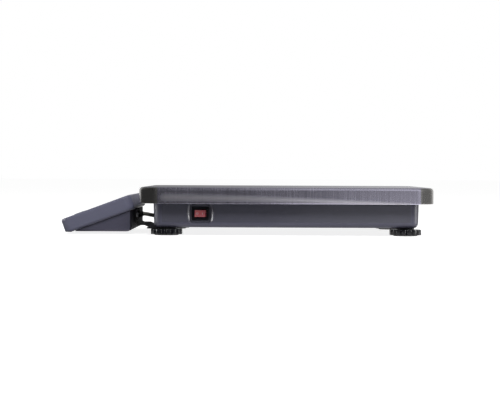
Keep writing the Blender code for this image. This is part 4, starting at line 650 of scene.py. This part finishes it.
def make_switch():
    face = GAP + 0.0018
    edge = 0.0006
    profile = [(0, GAP), (0, face - edge)] + arc(edge, face - edge, edge, 0, 90, 5)
    body = new_piece("switch_housing", shell(0.0200, 0.0152, 0.0012, profile, 6), "black_plastic")
    boolean(body, [block(0.0176, 0.0126, 0.0010, -0.0190, 0.0012, 4)], "UNION")
    flare = 0.0004
    profile = [(0, -0.0041), (0, face - flare), (-flare, face), (-flare, face + 0.002)]
    boolean(body, [shell(0.0146, 0.0092, 0.0005, profile, 3)])
    body.data.transform(BASE @ at(SWITCH_X, -0.1288, SWITCH_Z, TO_CAMERA))
    stand(body, ["switch_body"])

    # The rocker's ends stand out further than its middle
    pivot = BASE @ at(SWITCH_X, -0.1278, SWITCH_Z, (0, 0, math.radians(-10)))
    half = 0.0067
    reach = half - 0.0008
    tall = 0.0040
    crown = 0.0046
    dip = 0.0034
    edge = 0.0005

    def lift(share):
        return dip + (crown - dip) * abs(share) ** 1.5

    shares = [2 * step / 24 - 1 for step in range(25)]
    outline = [(-half, -0.0005), (0, -0.0027), (half, -0.0005)]
    outline += [(reach * share, lift(share)) for share in reversed(shares)]
    stations = [(-tall, edge), (-tall + edge * 0.3, edge * 0.3), (-tall + edge, 0)]
    stations += [(-z, inset) for z, inset in reversed(stations)]
    rings = []
    for z, inset in stations:
        narrow = 1 - inset / half
        rings.append([(x * narrow, -(out - (inset if out > 0 else 0)), z) for x, out in outline])
    form = placed(loft(rings), pivot)
    add_piece("power_rocker", form, "red_plastic", ["switch_rocker"], body="rocker", smooth=40)

    share = 0.52
    thick = 0.00006
    slope = math.atan(1.5 * (crown - dip) * share ** 0.5 / reach)
    ring = turned([(0.00085, 0), (0.00125, 0), (0.00125, thick), (0.00085, thick)], 32, True)
    bar = block(0.0005, 0.0024, 0.0001, 0, thick, 2)
    for name, form, side in (("switch_mark_off", ring, -1), ("switch_mark_on", bar, 1)):
        lean = Matrix.Rotation(side * -slope, 4, "Y")
        matrix = pivot @ at(side * share * reach, -lift(share), 0, TO_CAMERA) @ lean
        add_piece(name, placed(form, matrix), "switch_print", [], "rocker")


# ---- the display

def wedge_outline(inset, lift=0.0):
    """The wedge from the side, in x and z: a flat bottom, a rounded heel and a slope under the slab."""
    bottom = 0.0031 + inset
    rear = WEDGE_REAR - inset
    slope = SIN / COS
    front = (0.0037 + GAP / COS) / slope + inset / slope
    heel = 0.0058 - inset
    points = [(front, bottom)] + bow(rear - heel, bottom + heel, heel, -90, 0, 10)
    return points + [(x, x * slope - GAP / COS + lift) for x in (rear, front)]


def make_wedge():
    edge = 0.0025
    half = 0.1058
    wall = 0.0022
    stations = []
    for step in range(9):
        a = math.pi / 2 * step / 8
        stations.append((edge * (1 - math.sin(a)), -half + edge * (1 - math.cos(a))))
    stations += [(inset, -y) for inset, y in reversed(stations)]
    form = loft([[(x, y, z) for x, z in wedge_outline(inset)] for inset, y in stations])
    # Painted shade: the wedge takes the darker copy of the base's plastic
    wedge = new_piece("display_back_shell", form, "shaded_wedge_plastic")
    boolean(wedge, [widened(wedge_outline(wall, 0.002), half - wall)])

    to_level = LEVEL.inverted() @ TILTED
    seats = [(along, side * DISPLAY_SCREW_Y) for along in DISPLAY_SCREWS_ALONG for _, side in SIDES]
    added = []
    for along, y in seats:
        places = [(along + dx, y + dy) for dx, dy in circle(0.0046, 32)]
        foot = [(x, y, (0.0042 - x * SIN) / COS) for x, y in places]
        added.append(placed(loft([foot, [(x, y, 0.0067) for x, y in places]]), to_level))
    lip = []
    outer = (0.0152, 0.0811, 0.1048)
    inner = (0.0168, 0.0798, 0.1034)
    low, high = -0.0012, 0.0009
    for (start, stop, lip_half), z in ((outer, low), (outer, high), (inner, high), (inner, low)):
        outline = rounded(stop - start, 2 * lip_half, 0.001, 2)
        lip.append([(x + (start + stop) / 2, y, z) for x, y in outline])
    added.append(placed(loft(lip, True), to_level))
    front_bar = block(0.0036, 0.2096, 0.0010, low, -0.00003, 2)
    added.append(placed(front_bar, to_level @ at(0.0139, 0, 0)))
    boolean(wedge, added, "UNION")

    cuts = []
    for along, y in seats:
        seat = to_level @ at(along, y, 0)
        cuts.append(placed(rod(0.0031, -0.05, -0.0015), seat))
        cuts.append(placed(rod(0.0017, -0.0025, 0.012, steps=24), seat))
    cuts.append(rod(0.0045, -0.005, 0.005, WEDGE_REAR, 0, LEAD_Z - SLAB_Z, turn=TO_RIGHT))
    for _, side in SIDES:
        place = (WEDGE_REAR, side * BRACKET_SCREW_Y, FLANGE_SCREW_Z - SLAB_Z)
        cuts.append(rod(0.0022, -0.012, 0.005, *place, turn=TO_RIGHT))
    boolean(wedge, cuts)
    wedge.data.transform(LEVEL)
    # Painted shade: the rear face that looks at the base gets the near black matt finish
    regloss(wedge, "wedge_back_painted_shade", lambda face: face.center.x > REAR_X - 0.0024 and face.normal.x > 0.1)
    stand(wedge, ["display_rear_housing"])


def face_openings(low, high):
    """Cuts for the window and the five keys."""
    cuts = [block(0.0344, 0.1080, 0.0020, low, high, 6, WINDOW_ALONG)]
    for across in KEY_ACROSS:
        cuts.append(block(0.0136, 0.0246, 0.0030, low, high, 6, KEY_ALONG, across))
    return cuts


def make_slab():
    high = SLAB.z
    seat = high - 0.0011
    middle = SLAB.x / 2
    lower_edge = 0.0035
    upper_edge = 0.00265
    profile = [(0.0024, high - 0.0035), (0.0024, 0.0063), (0.0048, 0.0045), (0.0048, 0)]
    profile += arc(lower_edge, lower_edge, lower_edge, -90, 0, 8)
    profile += arc(upper_edge, high - upper_edge, upper_edge, 0, 90, 8)
    form = placed(shell(SLAB.x, SLAB.y, 0.0090, profile, 12), at(middle, 0, 0))
    slab = new_piece("display_front_shell", form, "light_blue_grey_plastic")
    boolean(slab, [block(0.0108, 0.2124, 0.0010, 0.0003, 0.0022, 3, 0.0092)], "UNION")
    under = block(0.036, 0.240, 0.001, -0.02, 0.0024, 2)
    boolean(slab, [placed(under, TILTED.inverted() @ LEVEL)])
    flare = 0.0004
    profile = [(0, seat), (0, high - 0.0003), (-flare, high + 0.0001), (-flare, high + 0.002)]
    film_seat = placed(shell(0.0721, 0.1966, 0.0040, profile, 8), at(middle, 0, 0))
    boolean(slab, [film_seat, block(0.0430, 0.1166, 0.0020, seat - 0.0016, high, 6, WINDOW_ALONG)])
    boolean(slab, face_openings(high - 0.006, high))
    slab.data.transform(TILTED)
    stand(slab, ["display_front_housing"])

    low = high - 0.0008
    film = new_piece("keypad_film", block(0.0715, 0.1960, 0.0040, low, high, 8, middle), "keypad_sheet")
    boolean(film, face_openings(low - 0.001, high + 0.001))
    film.data.transform(TILTED)
    stand(film, ["keypad_overlay"])
    corner = 0.0030
    for name, length, width, along in (
        ("film_border", 0.0675, 0.1920, middle),
        ("window_border", 0.0376, 0.1112, WINDOW_ALONG),
    ):
        rings = []
        for inset, z in ((0, high), (0, high + 0.00005), (0.0005, high + 0.00005), (0.0005, high)):
            outline = rounded(length - 2 * inset, width - 2 * inset, corner - inset, 8)
            rings.append([(x + along, y, z) for x, y in outline])
        add_piece(name, placed(loft(rings, True), TILTED), "print", [])

    pane = shell(0.0424, 0.1160, 0.0020, [(0, seat - 0.0013), (0, seat - 0.0002), (0.0002, seat)], 6)
    form = placed(pane, TILTED @ at(WINDOW_ALONG, 0, 0))
    add_piece("display_pane", form, "clear_window", ["display_window"])


def key_mark(index):
    """A plain sign for each key: ring with bar, ring, bar on a tray, two arrowheads, one arrowhead."""

    def band(radius, start, stop):
        outer, inner = (bow(0, 0, radius + half, start, stop, 32) for half in (0.0002, -0.0002))
        return outer + inner[::-1]

    def box(x, length, width):
        return [(x + sx * length / 2, sy * width / 2) for sx, sy in ((-1, -1), (1, -1), (1, 1), (-1, 1))]

    def arrow(x, size, side):
        tail = x - side * size * 0.4
        return [(tail, -size / 2), (x + side * size * 0.5, 0), (tail, size / 2)][::side]

    signs = (
        (band(0.0022, 35, 325), box(0.0018, 0.0022, 0.0004)),
        ([(x * 1.35, y * 0.8) for x, y in band(0.0019, 0, 359)],),
        (box(-0.0019, 0.0004, 0.0062), box(0.0004, 0.0026, 0.0036)),
        (arrow(0.0020, 0.0030, 1), arrow(-0.0020, 0.0030, -1)),
        ([(-y, x) for x, y in arrow(0, 0.0044, 1)],),
    )
    return [raised(outline, 0, 0.00005) for outline in signs[index]]


def make_keys():
    rise = SLAB.z + 0.0009 - KEY_SEAT
    dished = rise - 0.00018
    profile = [(-0.0010, 0), (-0.0010, 0.0012), (0, 0.0012), (0, rise - 0.0012)]
    profile += arc(0.0012, rise - 0.0012, 0.0012, 15, 75, 4) + [(0.0016, rise - 0.00002), (0.0040, dished)]
    for index, across in enumerate(KEY_ACROSS):
        number = index + 1
        name = f"key_{number}"
        matrix = TILTED @ at(KEY_ALONG, across, KEY_SEAT)
        form = placed(shell(0.0130, 0.0240, 0.0030, profile, 8), matrix)
        add_piece(f"button_{number}", form, "key_plastic", [name], body=name, smooth=40)
        for count, form in enumerate(key_mark(index), 1):
            form = placed(form, matrix @ at(0, 0, dished))
            add_piece(f"button_mark_{number}_{count}", form, "segment", [], name)


def make_digits():
    """The panel and its seven-segment noughts, which read from the front of the display."""
    level = SLAB.z - 0.0035 - GAP
    place = TILTED @ at(WINDOW_ALONG, 0, 0)
    form = placed(block(0.0404, 0.1140, 0.0005, level - 0.0050, level, 3), place)
    add_piece("liquid_crystal_panel", form, "lcd_panel", ["lcd_panel"])
    h = 0.0095
    w = 0.0050
    stroke = 0.0019
    lean = 0.10

    def segment(start, stop):
        (ax, ay), (bx, by) = start, stop
        length = math.hypot(bx - ax, by - ay)
        ux, uy = (bx - ax) / length, (by - ay) / length
        px, py = -uy * stroke / 2, ux * stroke / 2
        cut = stroke * 0.55
        tip = 0.0003
        return [
            (ax + ux * tip, ay + uy * tip),
            (ax + ux * cut + px, ay + uy * cut + py),
            (bx - ux * cut + px, by - uy * cut + py),
            (bx - ux * tip, by - uy * tip),
            (bx - ux * cut - px, by - uy * cut - py),
            (ax + ux * cut - px, ay + uy * cut - py),
        ]

    strokes = [((h, -w), (h, w)), ((h, w), (0, w)), ((0, w), (-h, w))]
    strokes += [((-h, -w), (-h, w)), ((0, -w), (-h, -w)), ((h, -w), (0, -w))]
    outlines = []
    for figure in range(4):
        centre = -0.0370 + figure * 0.0175
        for start, stop in strokes:
            outlines.append([(x, centre + y + lean * x) for x, y in segment(start, stop)])
    outlines.append([(-h + x + 0.0004, -0.0282 + y) for x, y in circle(0.0011, 16)])
    size = 0.0012
    for y in (0.0300, 0.0380, 0.0460):
        outlines.append([(-0.0125 + size, y - size), (-0.0125 - size, y), (-0.0125 + size, y + size)])
    outlines.append([(0.0100, 0.0438), (0.0100, 0.0482), (0.0085, 0.0482), (0.0085, 0.0438)])
    whole = bmesh.new()
    for outline in outlines:
        form = raised([(x, -y) for x, y in outline], level, level + 0.00004)
        mesh = bpy.data.meshes.new("figure")
        form.to_mesh(mesh)
        form.free()
        whole.from_mesh(mesh)
        bpy.data.meshes.remove(mesh)
    add_piece("panel_figures", placed(whole, place), "segment", [])


# ---- between the display and the base

def make_bracket():
    """Bent sheet: a flange on the display's rear wall, a tongue, a joggle and a plate under the base."""
    sheet = 0.0012
    flange = REAR_X + GAP + sheet / 2
    bend = 0.00517
    tongue = 0.0100
    plate = 0.0083
    path = [(flange, 0.0281)] + bow(flange + bend, tongue + bend, bend, 180, 270, 12)
    path += [(WALL_X - 0.0150, tongue), (WALL_X - 0.0135, 0.00985), (WALL_X - 0.0105, 0.00845)]
    path += [(WALL_X - 0.0090, plate), (WALL_X + 0.0260, plate)]
    upper, lower = [], []
    for index, (x, z) in enumerate(path):
        before = path[max(index - 1, 0)]
        after = path[min(index + 1, len(path) - 1)]
        dx, dz = after[0] - before[0], after[1] - before[1]
        share = sheet / 2 / math.hypot(dx, dz)
        upper.append((x - dz * share, z + dx * share))
        lower.append((x + dz * share, z - dx * share))
    strip = widened(upper + lower[::-1], 0.1298)
    bracket = new_piece("bent_bracket", strip, "black_painted_steel")

    # From above: cut away beside the tongue, with rounded corners
    edge = WALL_X - 0.0078
    end = WALL_X + 0.0259
    half = [(edge - 0.030, -0.060)]
    half += bow(edge - 0.005, -0.065, 0.005, 90, 0, 8)
    half += bow(edge + 0.006, -0.1237, 0.006, 180, 270, 8)
    half += bow(end - 0.003, -0.1267, 0.003, 270, 360, 8)
    boolean(bracket, [raised(mirrored(half), 0.0040, 0.0320)], "INTERSECT")

    slot_z = 0.0218
    cuts = [rod(0.0060, -0.002, 0.002, flange, 0, slot_z, turn=TO_RIGHT, steps=40)]
    cuts.append(block(0.0040, 0.0118, 0.0002, slot_z, 0.0300, 2, flange))
    for _, side in SIDES:
        y = side * BRACKET_SCREW_Y
        cuts.append(rod(0.0022, -0.002, 0.002, flange, y, FLANGE_SCREW_Z, turn=TO_RIGHT))
        cuts.append(rod(0.0022, 0.007, 0.010, PAN_X - FOOT_X, y))
        cuts.append(rod(0.0042, 0.007, 0.010, PAN_X - FOOT_X, side * FOOT_Y))
    boolean(bracket, cuts)
    soften(bracket, 0.0002)
    stand(bracket, ["display_bracket"])


def make_cable():
    plug = SLAB.x - 0.0261
    rise = (LEAD_Z - SLAB_Z - CABLE_RADIUS - plug * SIN) / COS
    start = SLAB_X + plug * COS - rise * SIN + GAP
    stop = WALL_X + 0.0110 - GAP
    nose = REAR_X + 0.0070
    gland = WALL_X - 0.0028
    route = [(start, LEAD_Z), ((start + nose) / 2, LEAD_Z)]
    for step in range(17):
        share = step / 16
        ease = share * share * (3 - 2 * share)
        route.append((nose + (gland - nose) * share, LEAD_Z + (GLAND_Z - LEAD_Z) * ease))
    route.append((stop, GLAND_Z))
    curve = bpy.data.curves.new("display_lead", "CURVE")
    curve.dimensions = "3D"
    curve.bevel_depth = CABLE_RADIUS
    curve.bevel_resolution = 8
    curve.use_fill_caps = True
    line = curve.splines.new("POLY")
    line.points.add(len(route) - 1)
    for point, (x, z) in zip(line.points, route):
        point.co = (x, 0, z, 1)
    line.use_smooth = True
    curve.materials.append(FINISHES["cable_sheath"])
    stand(linked("display_lead", curve), ["display_cable"])

    # The ribbed sleeve at the display and the plain one at the base
    bore = CABLE_RADIUS + GAP
    neck = [(0.0042, -0.0030), (0.0042, GAP)]
    profile = neck + [(0.0053, GAP), (0.0055, 0.0005), (0.0055, 0.0019), (0.0052, 0.0021)]
    for step in range(4):
        z = 0.0024 + step * 0.0011
        profile += [(0.0040, z), (0.0040, z + 0.0006), (0.0034, z + 0.00075), (0.0034, z + 0.00095)]
    profile += [(0.0032, 0.0070), (bore, 0.0070), (bore, -0.0030)]
    form = placed(turned(profile, 48, True), at(REAR_X, 0, LEAD_Z, TO_RIGHT))
    add_piece("cable_sleeve", form, "black_rubber", ["cable_boot"])
    profile = neck + [(0.0058, GAP), (0.0060, 0.0005), (0.0060, 0.0016), (0.0056, 0.0019)]
    profile += [(0.0040, 0.0020), (0.0038, 0.0028), (bore, 0.0028), (bore, -0.0030)]
    form = placed(turned(profile, 48, True), at(WALL_X, 0, GLAND_Z, TO_LEFT))
    add_piece("cable_grommet", form, "black_rubber", ["cable_gland"])


# ---- screws and small pieces

def screw_form(shank, head, height, length, sunk=False):
    """A cross-head screw, its outer face at z = 0."""
    dome = height * 0.45
    if sunk:
        profile = [(head * 0.05, 0), (head - 0.0001, 0), (head, 0.0001), (shank, height)]
    else:
        profile = [(head * 0.05, 0), (head * 0.55, dome * 0.15), (head * 0.85, dome * 0.5)]
        profile += [(head, dome), (head, height), (shank, height)]
    profile += [(shank, height + length - shank), (shank * 0.3, height + length)]
    screw = new_piece("screw_master", turned(profile, 32), "zinc_steel")
    rings = []
    for z, share in ((-0.001, 1.0), (height * 0.12, 1.0), (height * 0.75, 0.5)):
        r = head * 0.60 * share
        h = head * 0.11 * (0.6 + 0.4 * share)
        cross = [(r, -h), (r, h), (h, h), (h, r), (-h, r), (-h, h)]
        cross += [(-x, -y) for x, y in cross]
        rings.append([(x, y, z) for x, y in cross])
    boolean(screw, [loft(rings)])
    return screw


def make_screws():
    jobs = []
    cover = screw_form(0.0014, 0.0028, 0.0020, 0.014)
    for name, x, y in corners(0.143, 0.05994):
        jobs.append((cover, f"cover_screw_{name}", BASE @ at(x, y, COVER_TOP + GAP + 0.0020, DOWN)))
    display = screw_form(0.0014, 0.0028, 0.0020, 0.0141 + GAP)
    for row, along in zip(("front", "rear"), DISPLAY_SCREWS_ALONG):
        for name, side in SIDES:
            matrix = TILTED @ at(along, side * DISPLAY_SCREW_Y, -0.0035 - GAP)
            jobs.append((display, f"display_screw_{row}_{name}", matrix))
    bracket = screw_form(0.0019, 0.0038, 0.0022, 0.0100)
    for name, side in SIDES:
        y = side * BRACKET_SCREW_Y
        jobs.append((bracket, f"bracket_base_screw_{name}", BASE @ at(-FOOT_X, y, 0.0055 - GAP)))
        matrix = at(REAR_X + 2 * GAP + 0.0034, y, FLANGE_SCREW_Z, TO_LEFT)
        jobs.append((bracket, f"bracket_display_screw_{name}", matrix))
    door = screw_form(0.0014, 0.0028, 0.0012, 0.0090, True)
    jobs.append((door, "battery_door_screw", BASE @ at(0.0583, DOOR_Y, BASE_LOW + GAP)))
    cell = screw_form(0.0029, 0.0050, 0.0025, 0.0146, True)
    for index, x in enumerate(CELL_SCREWS_X, 1):
        jobs.append((cell, f"cell_lower_screw_{index}", BASE @ at(x, 0, BASE_LOW)))
    for master, node, matrix in jobs:
        piece = linked(f"{node}_drive", master.data.copy())
        piece.data.transform(matrix)
        stand(piece, [node])
    for master in (cover, display, bracket, door, cell):
        bpy.data.objects.remove(master)


def make_small_pieces():
    profile = [(0.0009, 0), (0.0010, -0.0084), (0.0029, -0.0087), (0.0029, 0.0013), (0.0033, 0.0017)]
    profile += [(0.0054, 0.0017), (0.0056, 0.0015), (0.0056, GAP), (0.0040, GAP), (0.0040, -0.0130)]
    form = placed(turned(profile), BASE @ at(BASE_HALF_X, INLET_Y, INLET_Z, TO_RIGHT))
    add_piece("power_socket", form, "black_plastic", ["power_inlet"])

    profile = [(0.0032, -0.0040), (0.0032, 0), (0.0085, 0), (0.0093, 0.0003), (0.0095, 0.0010)]
    profile += [(0.0095, 0.0055), (0.0092, 0.0063), (0.0084, 0.0067)]
    for name, x, y in corners(0.112, 0.096):
        form = placed(turned(profile, 40), BASE @ at(x, y, 0.0474 + GAP))
        add_piece(f"rubber_buffer_{name}", form, "black_rubber", [f"pan_buffer_{name}"])

    profile = [(0.0078, -0.0050), (0.0078, 0), (0.0098, 0), (0.0100, 0.0002), (0.0100, 0.0010)]
    profile += [(0.0098, 0.0012), (0.0080, 0.0012), (0.0070, 0.0019), (0.0045, 0.0023), (0.0010, 0.0024)]
    fill = [(0.0066, -0.0040), (0.0066, 0.0006), (0.0060, 0.0012), (0.0010, 0.0016)]
    ring = [(0.0024, 0.00245), (0.0027, 0.00245), (0.0027, 0.0022), (0.0024, 0.0022)]
    for name, form, finish, nodes in (
        ("spirit_level", turned(profile), "level_vial", ["level_vial"]),
        ("level_liquid", turned(fill, 40), "liquid", []),
        ("level_ring", turned(ring, 40, True), "segment", []),
    ):
        form = placed(form, BASE @ at(0.118, 0.040, COVER_TOP + GAP))
        add_piece(name, form, finish, nodes)


# ---- studio

# The pieces whose gloss shows the strip lights
MOULDINGS = ["base_housing", "display_back_shell", "display_front_shell", "switch_housing"]
MOULDINGS += [f"levelling_foot_{name}" for name in CORNERS]


def add_lamp(name, place, aim, size, power):
    """An area lamp, aimed at a height above the scale's middle."""
    lamp = bpy.data.lights.new(name, "AREA")
    lamp.shape = "RECTANGLE"
    lamp.size, lamp.size_y = size
    lamp.energy = power
    holder = linked(name, lamp)
    holder.location = place
    holder.rotation_euler = (Vector((0, 0, aim)) - Vector(place)).to_track_quat("-Z", "Y").to_euler()
    return holder


def make_lights():
    """A white world that lights only a little, soft boxes, and strips for the mouldings' gloss alone."""
    world = bpy.data.worlds.new("studio")
    bpy.context.scene.world = world
    sky = Tree(world)
    light = sky.add("Background", {"Color": WHITE, "Strength": 0.28})[0]
    shown = sky.add("Background", {"Color": WHITE})[0]
    sky.add("OutputWorld", {0: sky.add("MixShader", {0: sky.seen(), 1: light, 2: shown})[0]})

    for name, place, aim, size, power in (
        ("overhead_box", (0.1, 0.2, 1.6), 0, (1.4, 1.4), 5.0),
        ("front_box", (0.2, -1.5, 1.45), 0.02, (1.8, 0.9), 32.0),
        ("left_box", (-1.7, -0.4, 0.8), 0.03, (0.9, 0.9), 3.5),
        ("right_box", (1.7, -0.4, 0.8), 0.03, (0.9, 0.9), 4.0),
    ):
        add_lamp(name, place, aim, size, power).visible_glossy = False

    mouldings = bpy.data.collections.new("mouldings")
    for name in MOULDINGS:
        mouldings.objects.link(bpy.data.objects[name])
    reach = 1.6
    strips = (("right_strip", 79, 25.0), ("left_strip", -76, 11.0), ("edge_strip", -97, 12.0))
    for name, degrees, power in strips:
        bearing = math.radians(degrees)
        place = (reach * math.sin(bearing), -reach * math.cos(bearing), 0.3)
        strip = add_lamp(name, place, 0.28, (0.16, 0.8), power)
        strip.visible_diffuse = False
        strip.visible_camera = False
        strip.light_linking.receiver_collection = mouldings


def make_floor():
    """White paper: grey to the light that falls on it, with a glow for the rays that show it."""
    form = bmesh.new()
    bmesh.ops.create_grid(form, x_segments=1, y_segments=1, size=14)
    paper = bpy.data.materials.new("floor_paper")
    tree = Tree(paper)
    grey = tree.add("BsdfDiffuse", {"Color": (0.5, 0.5, 0.5, 1)})[0]
    glow = tree.add("Emission", {"Strength": tree.times(tree.seen(), 0.84)})[0]
    tree.add("OutputMaterial", {"Surface": tree.add("AddShader", {0: grey, 1: glow})[0]})
    floor = new_object("studio_floor", form, paper)
    floor.location.z = -0.0001


def card_finish(name, low, high):
    """A card whose grey goes by its bearing from the object, 0 towards the camera and minus to the left."""
    card = bpy.data.materials.new(name)
    tree = Tree(card)
    x, y, z = tree.add("SeparateXYZ", {0: tree.add("TexCoord")["Object"]})
    around = tree.spread(tree.maths("ARCTAN2", x, tree.times(y, -1)), 0, 1, -math.pi, math.pi)
    colours = []
    for stops in (low, high):
        outputs = tree.add("ValToRGB", {"Fac": around})
        elements = outputs[0].node.color_ramp.elements
        for element, (degrees, tone) in zip(elements, (stops[0], stops[-1])):
            element.position = degrees / 360 + 0.5
            element.color = (tone, tone, tone, 1)
        for degrees, tone in stops[1:-1]:
            elements.new(degrees / 360 + 0.5).color = (tone, tone, tone, 1)
        colours.append(outputs["Color"])
    colour = tree.mixed(tree.spread(z, 0, 1, 0.2, 2.4), *colours)
    tree.add("OutputMaterial", {"Surface": tree.add("Emission", {"Color": colour})[0]})
    return card


def make_card():
    """A floor cloth, open under the scale, and a round wall with a ceiling, which only gloss shows."""
    # The grey by bearing in degrees, near the floor and high up
    low = [(-180, 0.30), (-168, 0.18), (-158, 0.90), (-130, 0.90), (-118, 0.05), (-14, 0.05)]
    low += [(-6, 0.08), (0, 0.08), (5, 0.10), (9, 0.14), (13, 0.64), (31, 0.46)]
    low += [(40, 0.20), (112, 0.26), (126, 0.90), (158, 0.90), (170, 0.60), (180, 0.30)]
    high = [(-180, 0.34), (-172, 0.12), (-12, 0.02), (2, 0.03), (9, 1.0), (24, 0.80)]
    high += [(50, 0.30), (130, 0.22), (172, 0.45), (180, 0.34)]
    bearings = [math.radians(6 * i - 180) for i in range(60)]
    near = []
    for a in bearings:
        share = min(max((math.degrees(a) - 8) / 20, 0), 1)
        near.append(((0.24 + 0.24 * share) * math.sin(a), -(0.16 + 0.22 * share) * math.cos(a), 0.0003))
    lines = [near]
    for reach, height in ((3.4, 0.0003), (3.4, 1.2), (3.2, 1.9), (2.6, 2.3)):
        lines.append([(reach * math.sin(a), -reach * math.cos(a), height) for a in bearings])
    form = loft(lines)
    form.faces.ensure_lookup_table()
    form.faces.remove(form.faces[0])
    dark = new_object("dark_card", form, card_finish("dark_card", low, high))
    dark.visible_camera = False
    dark.visible_diffuse = False
    dark.visible_shadow = False
    dark.visible_transmission = False


def make_camera():
    data = bpy.data.cameras.new("photo_camera")
    data.lens = 125.86
    data.sensor_width = 36.0
    data.clip_start = 0.05
    data.clip_end = 100
    camera = linked("photo_camera", data)
    yaw = math.radians(-0.066)
    pitch = math.radians(0.935)
    roll = math.radians(0.238)
    ahead = Vector((math.sin(yaw) * math.cos(pitch), math.cos(yaw) * math.cos(pitch), -math.sin(pitch)))
    right = Vector((math.cos(yaw), -math.sin(yaw), 0))
    above = right.cross(ahead)
    across = right * math.cos(roll) + above * math.sin(roll)
    upward = above * math.cos(roll) - right * math.sin(roll)
    turn = Matrix((across, upward, -ahead)).transposed()
    camera.matrix_world = Matrix.Translation((0.0068, -2.150, 0.0742)) @ turn.to_4x4()
    bpy.context.scene.camera = camera


def main():
    dress_nodes()
    make_camera()
    make_pan()
    make_tub()
    make_feet()
    make_switch()
    make_wedge()
    make_slab()
    make_keys()
    make_digits()
    make_bracket()
    make_cable()
    make_screws()
    make_small_pieces()
    bpy.context.scene.view_settings.view_transform = "Standard"
    make_lights()
    make_floor()
    make_card()


main()
